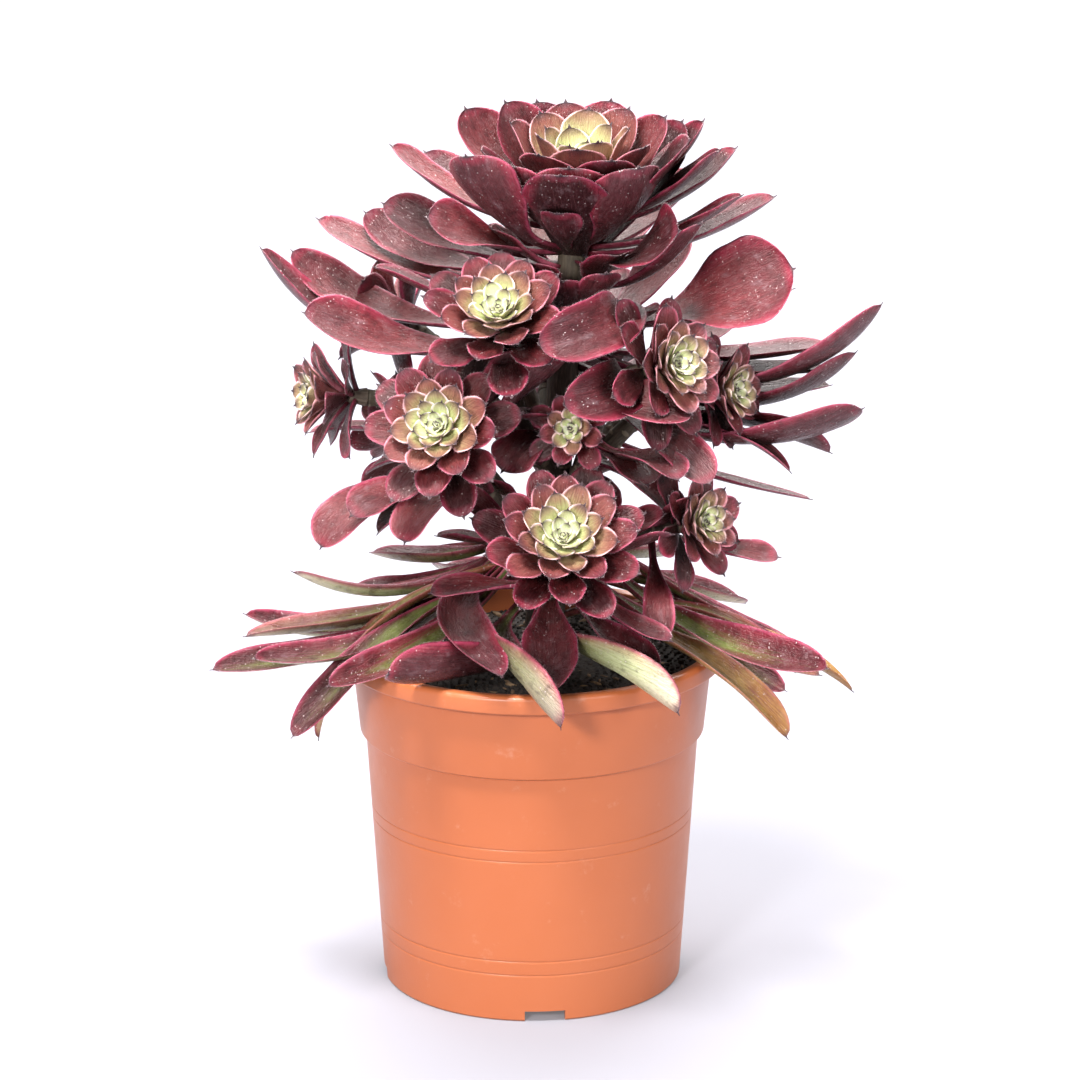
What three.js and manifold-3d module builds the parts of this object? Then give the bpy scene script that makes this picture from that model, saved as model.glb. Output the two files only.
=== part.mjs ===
// A potted aeonium: a terracotta-coloured plastic nursery pot filled with soil, and one branching plant with
// a main head, thirteen side heads and a skirt of long drooping leaves. Millimetres, +Z up, the origin on the
// surface it stands on, at the middle of the pot's flat underside. -Y is the front and +X the right.

import * as THREE from 'three';
import { mergeVertices } from 'three/addons/utils/BufferGeometryUtils.js';
import Module from 'manifold-3d';

const wasm = await Module();
wasm.setup();
const { Manifold, Mesh: SolidMesh } = wasm;

// ---- driving dimensions, in millimetres and degrees ----

const GAP = 0.4; // clearance between neighbouring solids

const POT = {
  height: 192,
  sides: 24,
  baseRadius: 82,
  collarFoot: 142, // height at which the collar starts
  bodyTopRadius: 91.2,
  collarFootRadius: 94.3,
  collarTopRadius: 98.3,
  lipFoot: 182,
  lipRadius: 105,
  lipRound: 3,
  wall: 2.2,
  floor: 4,
  channelInner: 56, // ring channel in the underside, between the flat middle and the foot ring
  channelOuter: 77,
  channelHeight: 6,
  notchWidth: 22, // drainage notches through the foot ring, as high as the channel
  notchCount: 4,
  notchTurn: 5,
  drainRadius: 6,
};

const SOIL = { top: 179, unevenness: 1.6, sides: 18, holeRadius: 13.5 };

const TRUNK = {
  foot: [5, 0, 122],
  lean: [19 / 262, -5 / 262], // sideways run for each millimetre of height
  soilLevel: 178,
  footRadius: 12.5,
  topRadius: 8.5,
  top: 300,
  sides: 8,
};

const BRANCH = { rootRadius: 5.6, tipRadius: 4.4, sides: 5, steps: 4, outward: 0.75, upward: 0.66 };

const GOLDEN_ANGLE = 137.508;
const ROOT_ROW = 0.5; // leaves are rooted along this share of the longest leaf
const LEAF_ROUGHNESS = 0.55;

// Heads: centre, azimuth and elevation of the face, longest leaf, leaves, turn of the first leaf, how far the
// open leaves and the oldest ones lean from the axis, outward curl, width, height of the fork on the trunk.
const HEADS = {
  top: [[25, -3, 445], 6, 80, 92, 30, 0, 42, 38, -12, 0.62, 0],
  front_high: [[-17, -64, 388], -5, 50, 50, 42, 40, 58, 68, 16, 0.56, 282],
  front_left: [[-48, -84, 333], -14, 30, 48, 46, 0, 64, 78, 22, 0.56, 232],
  front_low: [[16, -100, 276], 3, 42, 53, 48, 90, 62, 67, 18, 0.52, 206],
  front_right: [[72, -64, 362], 44, 20, 43, 42, 10, 64, 78, 24, 0.58, 262],
  right: [[104, -24, 338], 56, 12, 35, 34, 70, 64, 80, 26, 0.58, 272],
  right_low: [[88, -64, 276], 46, 20, 36, 34, 30, 64, 80, 26, 0.58, 222],
  middle: [[21, -66, 328], -10, 16, 28, 26, 20, 62, 78, 26, 0.6, 290],
  left: [[-111, -22, 335], -72, 8, 39, 34, 15, 60, 86, 30, 0.58, 248],
  left_high: [[-80, 52, 368], -125, 30, 42, 32, 55, 64, 80, 24, 0.58, 284],
  back: [[10, 92, 322], 175, 22, 46, 34, 0, 64, 80, 24, 0.58, 240],
  back_high: [[-6, 68, 386], 170, 34, 42, 32, 33, 64, 80, 24, 0.58, 288],
  back_right: [[80, 62, 318], 128, 16, 44, 32, 120, 64, 80, 24, 0.58, 256],
  back_left: [[-70, 66, 296], -142, 14, 42, 32, 12, 64, 80, 24, 0.58, 220],
};

// Long leaves on the trunk, each: azimuth, height of the foot, reach from the trunk's axis, height of the
// tip, slope at the foot, slope at the tip, width, twist, sideways swing of the foot.
const SKIRT_FOLD = 0.7;
const SKIRT_LEAVES = [
  [-72, 252, 190, 193, -46, 2, 20, -25, 0],
  [-66, 258, 173, 203, -48, 14, 20, -20, 0],
  [-83, 262, 167, 212, -50, 30, 20, -15, 0],
  [-77, 248, 168, 205, -34, 0, 19, 0, 0],
  [-95, 264, 142, 226, -52, 30, 16, 20, 0],
  [-113, 256, 120, 206, -40, 0, 19, 0, 0],
  [-122, 258, 118, 222, -35, 5, 19, 0, 0],
  [-62, 228, 154, 160, 5, -40, 20, -30, 0],
  [-53, 262, 148, 194, -56, -2, 20, -30, 0],
  [-69, 238, 133, 151, 0, -80, 17, 20, 0],
  [-37, 222, 139, 207, -50, 10, 30, 65, 30],
  [-13, 246, 113, 206, -25, -15, 27, 0, -75],
  [0, 238, 117, 199, -30, -15, 30, 0, 0],
  [3, 222, 134, 186, -25, -45, 26, -75, -45],
  [31, 236, 113, 206, -45, -5, 17, 40, 0],
  [29, 226, 140, 190, -35, -35, 28, -65, -30],
  [57, 262, 172, 205, -44, 6, 24, 30, 0],
  [69, 244, 135, 178, -45, -25, 17, 50, 0],
  [60, 224, 147, 160, -20, -45, 19, 10, 0],
  [79, 222, 150, 180, -15, -10, 20, 20, 0],
  [87, 204, 137, 177, 20, -40, 16, 0, 0],
  [97, 216, 170, 155, -15, -40, 16, 0, 0],
  [96, 262, 142, 171, -38, -30, 16, 0, 0],
  [110, 250, 151, 166, -28, -25, 20, 0, 0],
  [104, 232, 140, 162, -20, -40, 19, 0, 0],
];

const CROWN_FOLD = 0.35;
const CROWN_LEAVES = [
  [-93, 362, 163, 408, -20, 62, 38, 0, 0],
  [-72, 365, 145, 386, -15, 30, 40, -30, 0],
  [-103, 369, 152, 401, -8, 45, 26, -40, 0],
  [-100, 391, 137, 421, -8, 35, 30, -10, 0],
  [-108, 395, 116, 422, -5, 40, 26, -40, 0],
  [-92, 401, 100, 434, 0, 35, 34, -30, 0],
  [-78, 374, 104, 405, -5, 25, 24, 0, 0],
  [-69, 410, 82, 434, 0, 25, 32, -40, 0],
  [-93, 422, 97, 465, 5, 45, 28, -10, 0],
  [-120, 427, 93, 453, 10, 45, 30, -10, 0],
  [-113, 433, 64, 481, 25, 70, 36, -20, 0],
  [-51, 411, 72, 470, 15, 65, 42, 20, 0],
  [-41, 419, 53, 464, 25, 70, 36, 0, 0],
  [-3, 415, 52, 465, 20, 75, 40, 0, 0],
  [36, 415, 57, 464, 15, 72, 46, 0, 0],
  [45, 404, 78, 432, -5, 35, 44, 45, 0],
  [104, 430, 70, 476, 25, 65, 30, 0, 0],
  [82, 424, 77, 466, 15, 50, 30, 0, 0],
  [102, 421, 88, 461, 12, 50, 30, 0, 0],
  [76, 412, 91, 444, 5, 40, 28, 0, 0],
  [96, 408, 108, 436, 0, 35, 32, 0, 0],
  [57, 392, 81, 434, 0, 55, 24, 0, 0],
  [78, 366, 122, 405, 5, 30, 56, 52, 0],
  [94, 368, 121, 386, 0, 25, 36, 0, 0],
  [91, 357, 169, 379, -30, 60, 34, -30, 0],
  [105, 355, 148, 348, -8, 10, 28, 0, 0],
  [101, 340, 147, 336, 0, 0, 26, 0, 0],
  [93, 346, 157, 351, -25, 50, 30, -30, 0],
  [83, 335, 161, 327, -30, 35, 34, -40, 0],
  [99, 332, 147, 329, 0, 10, 26, 0, 0],
  [91, 325, 145, 297, -5, -25, 32, -30, 0],
  [82, 321, 124, 292, -5, -45, 18, 0, 0],
  [92, 314, 136, 270, -25, -12, 12, 0, 0],
  [-10, 378, 92, 381, 15, -15, 31, -75, 90],
  [0, 338, 97, 350, 10, -5, 31, -65, 85],
  [44, 318, 112, 303, 30, -35, 26, 20, 0],
  [-5, 372, 48, 404, 40, 55, 25, 0, 0],
  [22, 378, 52, 408, 35, 60, 24, 0, 0],
  [-28, 384, 46, 412, 35, 60, 26, 0, 0],
  [40, 352, 60, 376, 25, 40, 26, 0, 0],
];

// Leaves spread over a sector of the trunk by the golden angle: count, first azimuth and width of the sector,
// heights of the lowest and highest foot, reach, rise to the tip, slope at the foot, slope at the tip, width.
const BACK_SKIRT = {
  count: 7,
  azimuth: 128,
  sector: 104,
  low: 230,
  high: 264,
  reach: 150,
  drop: -40,
  rise: -20,
  end: -10,
  width: 25,
};
const FRONT_FILL = {
  count: 7,
  azimuth: -80,
  sector: 160,
  low: 236,
  high: 296,
  reach: 66,
  drop: 20,
  rise: 22,
  end: 20,
  width: 24,
};
const FRONT_CROWN = {
  count: 10,
  azimuth: -85,
  sector: 170,
  low: 304,
  high: 418,
  reach: 66,
  drop: 20,
  rise: 18,
  end: 35,
  width: 25,
};
const BACK_CROWN = {
  count: 11,
  azimuth: 122,
  sector: 116,
  low: 330,
  high: 428,
  reach: 120,
  drop: 34,
  rise: 2,
  end: 40,
  width: 31,
};

// Long leaves on the branches: head of the branch, share of its length, azimuth, reach, height of the tip
// over the foot, slope at the foot, slope at the tip, width, twist, sideways swing of the foot.
const BRANCH_LEAVES = [
  ['left', 0.3, -61, 104, -21, 0, -55, 30, -20, 0],
  ['front_left', 0.64, -63, 74, -11, -10, -30, 28, -20, 0],
  ['front_left', 0.66, -36, 62, -22, -20, -60, 26, 0, 0],
  ['front_left', 0.59, -74, 57, -22, -20, -50, 20, 0, 0],
  ['left', 0.46, -102, 56, -14, -10, -40, 14, 0, 0],
  ['left', 0.63, -100, 72, -6, -10, -15, 16, 0, 0],
  ['right_low', 0.86, 5, 44, -46, -60, -80, 17, 0, 0],
  ['front_low', 0.92, 60, 67, -27, -25, -5, 20, 0, 0],
  ['right_low', 0.92, 91, 64, -15, -20, -5, 20, 20, 0],
  ['front_right', 0.47, 32, 84, -3, -20, -25, 26, 0, 0],
  ['middle', 0.6, -50, 50, -10, 20, -40, 26, -30, 0],
  ['middle', 0.8, 57, 70, 20, 55, -15, 32, 30, -50],
  ['front_low', 0.8, -80, 68, -4, -10, -10, 20, -20, 0],
  ['front_left', 0.85, 68, 58, 58, 45, 40, 24, -30, 0],
  ['front_left', 0.85, 52, 42, 62, 70, 55, 24, -30, 0],
  ['front_left', 0.85, -110, 50, 40, 40, 50, 24, 30, 0],
  ['front_low', 0.85, 75, 62, 28, 30, 20, 22, -20, 0],
  ['right_low', 0.8, 40, 40, 30, 40, 50, 20, 0, 0],
  ['left', 0.8, -60, 14, 44, 80, 70, 24, 0, 0],
  ['left', 0.8, -20, 30, -12, 0, -20, 24, -30, 0],
  ['front_low', 0.75, -85, 52, 50, 45, 40, 24, -25, 0],
  ['front_low', 0.7, 70, 60, 44, 45, 30, 24, 25, 0],
  ['front_right', 0.4, 30, 62, -4, 10, -30, 28, 0, 0],
  ['front_right', 0.3, 8, 62, -12, 10, -30, 28, 0, 0],
  ['front_right', 0.35, 55, 60, -22, 0, -40, 26, 0, 0],
  ['front_left', 0.5, -16, 57, 36, 45, 20, 27, 0, 0],
];

// ---- small helpers ----

const radians = (degrees) => (degrees * Math.PI) / 180;
const vector = (x, y, z) => new THREE.Vector3(x, y, z);
const UP = vector(0, 0, 1);

// Direction from an azimuth, 0 at the front and 90 at the right, and an elevation.
function heading(azimuth, elevation) {
  const a = radians(azimuth);
  const e = radians(elevation);
  return vector(Math.sin(a) * Math.cos(e), -Math.cos(a) * Math.cos(e), Math.sin(e));
}

// A repeatable number from -1 to 1 for leaf i and purpose k.
function noise(i, k) {
  const x = Math.sin(i * 12.9898 + k * 78.233) * 43758.5453;
  return 2 * (x - Math.floor(x)) - 1;
}

// Rises smoothly from 0 at low to 1 at high.
function smooth(x, low, high) {
  const s = Math.min(1, Math.max(0, (x - low) / (high - low)));
  return s * s * (3 - 2 * s);
}

// A closed solid from rings of points: each ring is joined to the next, and both ends are closed. The last
// ring may be a single point.
function loft(rings, capStart) {
  const positions = [];
  const triangles = [];
  const size = rings[0].length;
  for (const ring of rings) {
    for (const p of ring) positions.push(p.x, p.y, p.z);
  }
  const at = (r, k) => r * size + (k % size);
  for (let r = 0; r + 1 < rings.length; r += 1) {
    for (let k = 0; k < size; k += 1) {
      if (rings[r + 1].length === 1) {
        triangles.push(at(r, k), at(r, k + 1), (r + 1) * size);
      } else if (k < size / 2) {
        triangles.push(at(r, k), at(r, k + 1), at(r + 1, k + 1), at(r, k), at(r + 1, k + 1), at(r + 1, k));
      } else {
        triangles.push(at(r, k), at(r, k + 1), at(r + 1, k), at(r, k + 1), at(r + 1, k + 1), at(r + 1, k));
      }
    }
  }
  for (const [a, b, c] of capStart) triangles.push(a, c, b);
  const last = rings.length - 1;
  if (rings[last].length > 1) {
    for (const [a, b, c] of capStart) triangles.push(at(last, a), at(last, b), at(last, c));
  }
  return solid(positions, triangles);
}

function solid(positions, triangles) {
  return new Manifold(
    new SolidMesh({
      numProp: 3,
      vertProperties: new Float32Array(positions),
      triVerts: new Uint32Array(triangles),
    }),
  );
}

function solidFromGeometry(geometry) {
  const bare = geometry.clone();
  bare.deleteAttribute('normal');
  bare.deleteAttribute('uv');
  const merged = mergeVertices(bare, 1e-4);
  const index = merged.index.array;
  const triangles = [];
  for (let k = 0; k < index.length; k += 3) {
    const [a, b, c] = [index[k], index[k + 1], index[k + 2]];
    if (a !== b && b !== c && c !== a) triangles.push(a, b, c);
  }
  return solid(merged.attributes.position.array, triangles);
}

function geometryFromSolid(shape) {
  const mesh = shape.getMesh();
  const geometry = new THREE.BufferGeometry();
  geometry.setAttribute('position', new THREE.BufferAttribute(new Float32Array(mesh.vertProperties), 3));
  geometry.setIndex(new THREE.BufferAttribute(new Uint32Array(mesh.triVerts), 1));
  geometry.computeVertexNormals();
  return geometry;
}

// The largest body of a solid: drops the scraps that a cut has left loose.
function largestBody(shape) {
  return shape.decompose().reduce((a, b) => (b.volume() > a.volume() ? b : a));
}

// ---- leaves ----

// How the end of a section is closed, by its number of points.
const END_FACES = {
  3: [[0, 1, 2]],
  4: [[0, 1, 3], [1, 2, 3]],
  6: [[0, 1, 5], [1, 2, 5], [2, 3, 5], [3, 4, 5]],
};

// One section of a blade, its edges raised by the fold. A flat blade's section is a triangle, keeled below;
// a channelled one's is a chevron. Growing it by some clearance makes its edges blunt.
function section({ point, side, normal, half, fold, thick }, channelled, grow) {
  const at = (across, up) => point.clone().addScaledVector(side, across).addScaledVector(normal, up);
  const width = half + grow;
  const edge = half * fold;
  const below = -thick / 2 - grow;
  const above = channelled ? thick / 2 + grow : edge + grow;
  if (grow > 0) {
    return [
      at(-width, edge + grow),
      at(-width, edge - grow),
      at(0, below),
      at(width, edge - grow),
      at(width, edge + grow),
      at(0, above),
    ];
  }
  const keeled = [at(-width, edge), at(0, below), at(width, edge)];
  return channelled ? [...keeled, at(0, above)] : keeled;
}

// A leaf blade: sections along its middle line and a pointed tip.
function blade(stations, tip, channelled, grow) {
  const rings = stations.map((station) => section(station, channelled, grow));
  return loft([...rings, [tip]], END_FACES[rings[0].length]);
}

// Share of the full half width along a head leaf: a narrow foot, widest at 0.7, a round end.
function headLeafWidth(t) {
  const foot = 0.24 + 0.76 * (Math.min(t, 0.7) / 0.7) ** 1.1;
  return t <= 0.7 ? foot : foot * Math.sqrt(1 - ((t - 0.7) / 0.3) ** 2);
}

// Share of the full half width along a long leaf: a channelled stalk, widest at 0.83, a round end.
function longLeafWidth(t) {
  const stalk = 0.24 + 0.76 * smooth(t, 0.2, 0.76);
  return t <= 0.83 ? stalk : stalk * Math.sqrt(1 - ((t - 0.83) / 0.17) ** 2);
}

function headFrame(name) {
  const [centre, azimuth, elevation] = HEADS[name];
  const axis = heading(azimuth, elevation);
  const side = UP.clone().cross(axis).normalize();
  return { centre: vector(...centre), axis, side, up: axis.clone().cross(side) };
}

// Where a head's core sits on the end of its branch.
function headBase(name) {
  const { centre, axis } = headFrame(name);
  const longest = HEADS[name][3];
  return centre.addScaledVector(axis, -(ROOT_ROW * longest + 4));
}

// The leaves of a head, from the youngest in the middle to the oldest outside, each turned on by the golden
// angle, longer, wider and further from the axis.
function headLeaves(name) {
  const [, , , longest, count, first, spread, fall, curl, broad] = HEADS[name];
  const { centre, axis, side, up } = headFrame(name);
  const leaves = [];
  for (let i = 0; i < count; i += 1) {
    const age = (i + 0.5) / count;
    const turn = radians(first + i * GOLDEN_ANGLE + 5 * noise(i, 1));
    const radial = side.clone().multiplyScalar(Math.cos(turn)).addScaledVector(up, Math.sin(turn));
    const tilt = 5 + (spread - 5) * age ** 0.6 + (fall - spread) * smooth(age, 0.7, 1) + 3 * noise(i, 2);
    leaves.push({
      root: centre
        .clone()
        .addScaledVector(axis, -ROOT_ROW * longest * age ** 1.8)
        .addScaledVector(radial, longest * (0.015 + 0.05 * age)),
      axis,
      radial,
      tiltAtRoot: tilt - 0.57 * curl,
      tiltAtTip: tilt + 0.43 * curl,
      length: longest * (0.1 + 0.9 * age ** 0.85) * (1 + 0.05 * noise(i, 3)),
      widthShare: broad + 0.04 - 0.16 * age,
      fold: 0.3 - 0.14 * age,
      thick: 0.8 + 0.8 * age,
      age,
    });
  }
  return leaves;
}

const YOUNG_STATIONS = [0, 0.7];
const OLD_STATIONS = [0, 0.62, 0.88];
const YOUNG = 0.8;
const FOOT_HALF = 0.5; // half the width of a blade's foot, inside the wood
const BUD = 0.54; // side heads' leaves younger than this are shut in the bud, which is the end of the core
const MAIN_BUD = 0.15; // the same in the main head

function headLeafBlade(leaf, grow) {
  const { root, axis, radial, tiltAtRoot, tiltAtTip, length } = leaf;
  const side = axis.clone().cross(radial);
  const at = leaf.age < YOUNG ? YOUNG_STATIONS : OLD_STATIONS;
  const tiltAt = (t) => radians(tiltAtRoot + (tiltAtTip - tiltAtRoot) * t);
  const pointAt = (t) => {
    const point = root.clone();
    const steps = 12;
    for (let k = 0; k < steps; k += 1) {
      const a = tiltAt((t * (k + 0.5)) / steps);
      point.addScaledVector(radial, (Math.sin(a) * length * t) / steps);
      point.addScaledVector(axis, (Math.cos(a) * length * t) / steps);
    }
    return point;
  };
  const stations = at.map((t) => {
    const a = tiltAt(t);
    return {
      point: pointAt(t),
      side,
      normal: radial.clone().multiplyScalar(-Math.cos(a)).addScaledVector(axis, Math.sin(a)),
      half: t > 0 ? (headLeafWidth(t) * length * leaf.widthShare) / 2 : FOOT_HALF,
      fold: leaf.fold,
      thick: t > 0 ? leaf.thick : FOOT_HALF,
    };
  });
  return blade(stations, pointAt(1 + grow / length), false, grow);
}

function trunkAt(height) {
  const rise = height - TRUNK.soilLevel;
  return vector(TRUNK.foot[0] + TRUNK.lean[0] * rise, TRUNK.foot[1] + TRUNK.lean[1] * rise, height);
}

const SKIRT_STATIONS = [0, 0.34, 0.64, 0.9];
const LONG_STATIONS = [0, 0.45, 0.84];
const LONG_THICK = 2.4;

// A long leaf curves in the vertical plane through its foot and tip; the plane swings round near the foot
// when swing is given, and the blade turns about its middle line by twist at the tip.
function longLeafBlade(leaf, grow, at) {
  const { root, tip, rise, end, width, twist, swing, fold } = leaf;
  const run = Math.hypot(tip.x - root.x, tip.y - root.y);
  const drop = tip.z - root.z;
  const azimuth = Math.atan2(tip.x - root.x, root.y - tip.y);
  const pull = 0.38 * Math.hypot(run, drop);
  const inPlane = new THREE.CubicBezierCurve(
    new THREE.Vector2(0, 0),
    new THREE.Vector2(pull * Math.cos(radians(rise)), pull * Math.sin(radians(rise))),
    new THREE.Vector2(run - pull * Math.cos(radians(end)), drop - pull * Math.sin(radians(end))),
    new THREE.Vector2(run, drop),
  );
  const pointAt = (t) => {
    const p = inPlane.getPoint(t);
    const a = azimuth + radians(swing) * (1 - t);
    return root.clone().add(vector(Math.sin(a) * p.x, -Math.cos(a) * p.x, p.y));
  };
  const stations = at.map((t) => {
    const a = azimuth + radians(swing) * (1 - t);
    const step = 0.01;
    const along = pointAt(t + step).sub(pointAt(Math.max(0, t - step))).normalize();
    const side = UP.clone().cross(along).add(vector(Math.cos(a), Math.sin(a), 0).multiplyScalar(0.05));
    side.addScaledVector(along, -side.dot(along)).normalize();
    const normal = along.clone().cross(side);
    const turn = radians(twist * smooth(t, 0.2, 0.95));
    return {
      point: pointAt(t),
      side: side.clone().multiplyScalar(Math.cos(turn)).addScaledVector(normal, Math.sin(turn)),
      normal: normal.clone().multiplyScalar(Math.cos(turn)).addScaledVector(side, -Math.sin(turn)),
      half: t > 0 ? (longLeafWidth(t) * width) / 2 : 3 * FOOT_HALF,
      fold,
      thick: t > 0 ? LONG_THICK : 2 * FOOT_HALF,
    };
  });
  const beyond = pointAt(1).sub(pointAt(0.98)).setLength(Math.max(grow, 1e-3));
  return blade(stations, pointAt(1).add(beyond), true, grow);
}

const FOOT_OFFSET = 7; // a leaf's foot starts this far out from the trunk's axis, inside the wood

function trunkLeaf([azimuth, foot, reach, tipHeight, rise, end, width, twist, swing], fold) {
  const centre = trunkAt(foot);
  const tip = centre.clone().addScaledVector(heading(azimuth, 0), reach);
  tip.z = tipHeight;
  const root = centre.addScaledVector(heading(azimuth + swing, 0), FOOT_OFFSET);
  return { root, tip, rise, end, width, twist, swing, fold };
}

// Leaves spread over a sector of the trunk, as rows like those of SKIRT_LEAVES.
function sectorRows({ count, azimuth, sector, low, high, reach, drop, rise, end, width }) {
  const rows = [];
  for (let i = 0; i < count; i += 1) {
    const share = (i * GOLDEN_ANGLE) / 360;
    const foot = low + ((high - low) * (i + 0.5)) / count;
    const far = reach * (1 - (0.3 * (foot - low)) / (high - low) + 0.08 * noise(i, 4));
    rows.push([
      azimuth + sector * (share - Math.floor(share)),
      foot,
      far,
      foot + drop + 8 * noise(i, 5),
      rise + 5 * noise(i, 6),
      end + 8 * noise(i, 7),
      width * (1 + 0.1 * noise(i, 8)),
      12 * noise(i, 9),
      0,
    ]);
  }
  return rows;
}

// ---- stem ----

// A branch leaves the trunk at its fork, swings outwards and comes up behind its head, along the head's axis.
function branchCurve(name) {
  const { axis } = headFrame(name);
  const start = trunkAt(HEADS[name][10]);
  const end = headBase(name).addScaledVector(axis, -GAP);
  const span = end.distanceTo(start);
  const away = vector(end.x - start.x, end.y - start.y, 0).normalize();
  const leave = away.multiplyScalar(BRANCH.outward).addScaledVector(UP, BRANCH.upward).normalize();
  return new THREE.CubicBezierCurve3(
    start,
    start.clone().addScaledVector(leave, 0.42 * span),
    end.clone().addScaledVector(axis, -0.36 * span),
    end,
  );
}

// Round sections, each with a centre, a direction and a radius.
function tube(sections, sides, grow) {
  const rings = sections.map(({ point, along, radius }) => {
    const side = UP.clone().cross(along);
    if (side.length() < 1e-3) side.set(1, 0, 0);
    side.normalize();
    const other = along.clone().cross(side);
    const ring = [];
    for (let k = 0; k < sides; k += 1) {
      const a = (2 * Math.PI * k) / sides;
      ring.push(
        point
          .clone()
          .addScaledVector(side, (radius + grow) * Math.cos(a))
          .addScaledVector(other, (radius + grow) * Math.sin(a)),
      );
    }
    return ring;
  });
  const cap = [];
  for (let k = 1; k + 1 < sides; k += 1) cap.push([0, k, k + 1]);
  return loft(rings, cap);
}

function branchTube(name, grow) {
  const curve = branchCurve(name);
  const sections = [];
  for (let k = 0; k <= BRANCH.steps; k += 1) {
    const t = k / BRANCH.steps;
    sections.push({
      point: curve.getPoint(t),
      along: curve.getTangent(t),
      radius: BRANCH.rootRadius + (BRANCH.tipRadius - BRANCH.rootRadius) * t,
    });
  }
  return tube(sections, BRANCH.sides, grow);
}

function trunkTube(grow) {
  const sections = [];
  const steps = 3;
  for (let k = 0; k <= steps; k += 1) {
    const height = TRUNK.foot[2] + ((TRUNK.top - TRUNK.foot[2]) * k) / steps;
    sections.push({
      point: trunkAt(height),
      along: UP.clone(),
      radius: TRUNK.footRadius + ((TRUNK.topRadius - TRUNK.footRadius) * k) / steps,
    });
  }
  return tube(sections, TRUNK.sides, grow);
}

const CORE = {
  sides: 7,
  footMargin: 0.6, // how much wider than the branch the core's foot is
  waistShare: 0.07, // radii as shares of the longest leaf, plus a margin
  waistMargin: 1.4,
  topShare: 0.02,
  topMargin: 1.2,
};

// A head's core: a short tapering stem end that its leaves grow from.
function headCore(name, grow) {
  const { centre, axis } = headFrame(name);
  const longest = HEADS[name][3];
  const foot = headBase(name).addScaledVector(axis, -grow);
  const waist = centre.clone().addScaledVector(axis, -(ROOT_ROW - 0.02) * longest);
  const top = centre.clone().addScaledVector(axis, 1 + grow);
  const sections = [
    { point: foot, along: axis, radius: BRANCH.tipRadius + CORE.footMargin },
    { point: waist, along: axis, radius: CORE.waistShare * longest + CORE.waistMargin },
    { point: top, along: axis, radius: CORE.topShare * longest + CORE.topMargin },
  ];
  return tube(sections, CORE.sides, grow);
}

// Heights and radii of the main head's core between the trunk's top and the middle of the head.
const MAIN_CORE = [
  [374, 8],
  [432, 7],
];
const MAIN_CORE_END = 3;

// The main head's core runs down to the top of the trunk.
function mainCore(grow) {
  const { centre, axis } = headFrame('top');
  const foot = trunkAt(TRUNK.top + GAP - grow);
  const sections = [
    { point: foot, along: UP.clone(), radius: TRUNK.topRadius },
    ...MAIN_CORE.map(([height, radius]) => ({ point: trunkAt(height), along: UP.clone(), radius })),
    { point: centre.clone().addScaledVector(axis, 1 + grow), along: axis, radius: MAIN_CORE_END },
  ];
  return tube(sections, CORE.sides, grow);
}

// ---- the plant's solids, each as the list of what is fused in it ----

function stemShapes(grow) {
  const shapes = [trunkTube(grow)];
  for (const name of Object.keys(HEADS)) {
    if (name !== 'top') shapes.push(branchTube(name, grow));
  }
  for (const row of SKIRT_LEAVES) {
    shapes.push(longLeafBlade(trunkLeaf(row, SKIRT_FOLD), grow, SKIRT_STATIONS));
  }
  for (const row of sectorRows(BACK_SKIRT)) {
    shapes.push(longLeafBlade(trunkLeaf(row, SKIRT_FOLD), grow, LONG_STATIONS));
  }
  for (const row of sectorRows(FRONT_FILL)) {
    shapes.push(longLeafBlade(trunkLeaf(row, CROWN_FOLD), grow, LONG_STATIONS));
  }
  for (const [name, share, azimuth, reach, lift, rise, end, width, twist, swing] of BRANCH_LEAVES) {
    const root = branchCurve(name).getPoint(share);
    const tip = root.clone().addScaledVector(heading(azimuth, 0), reach);
    tip.z += lift;
    const leaf = { root, tip, rise, end, width, twist, swing, fold: CROWN_FOLD };
    shapes.push(longLeafBlade(leaf, grow, LONG_STATIONS));
  }
  return shapes;
}

function openLeaves(name) {
  return headLeaves(name).filter(({ age }) => age > (name === 'top' ? MAIN_BUD : BUD));
}

function mainHeadShapes(grow) {
  const shapes = [mainCore(grow)];
  for (const row of [...CROWN_LEAVES, ...sectorRows(FRONT_CROWN), ...sectorRows(BACK_CROWN)]) {
    shapes.push(longLeafBlade(trunkLeaf(row, CROWN_FOLD), grow, LONG_STATIONS));
  }
  for (const leaf of openLeaves('top')) shapes.push(headLeafBlade(leaf, grow));
  return shapes;
}

function headShapes(name, grow) {
  return [headCore(name, grow), ...openLeaves(name).map((leaf) => headLeafBlade(leaf, grow))];
}

const PLANT = [
  ['stem_with_skirt_leaves', stemShapes],
  ['main_head', mainHeadShapes],
  ...Object.keys(HEADS)
    .filter((name) => name !== 'top')
    .map((name) => [`side_head_${name}`, (grow) => headShapes(name, grow)]),
];

// Fuses each part of the plant. Where two parts would cross, the later one is cut back to leave the gap.
function growPlant() {
  const parts = [];
  const grown = [];
  for (const [name, shapesAt] of PLANT) {
    let part = Manifold.union(shapesAt(0));
    for (const earlier of grown) part = part.subtract(earlier);
    parts.push([name, largestBody(part)]);
    grown.push(Manifold.union(shapesAt(GAP)));
  }
  return parts;
}

// ---- pot and soil ----

const POT_FLOOR_TOP = POT.channelHeight + POT.floor;

// The pot's inner wall as [radius, height] corners, from the rim down to the floor.
const POT_INSIDE = [
  [POT.collarTopRadius - POT.wall, POT.height],
  [POT.collarFootRadius - POT.wall, POT.collarFoot + 3],
  [POT.bodyTopRadius - POT.wall, POT.collarFoot],
  [POT.baseRadius + 0.6 - POT.wall, POT_FLOOR_TOP],
];

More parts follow.
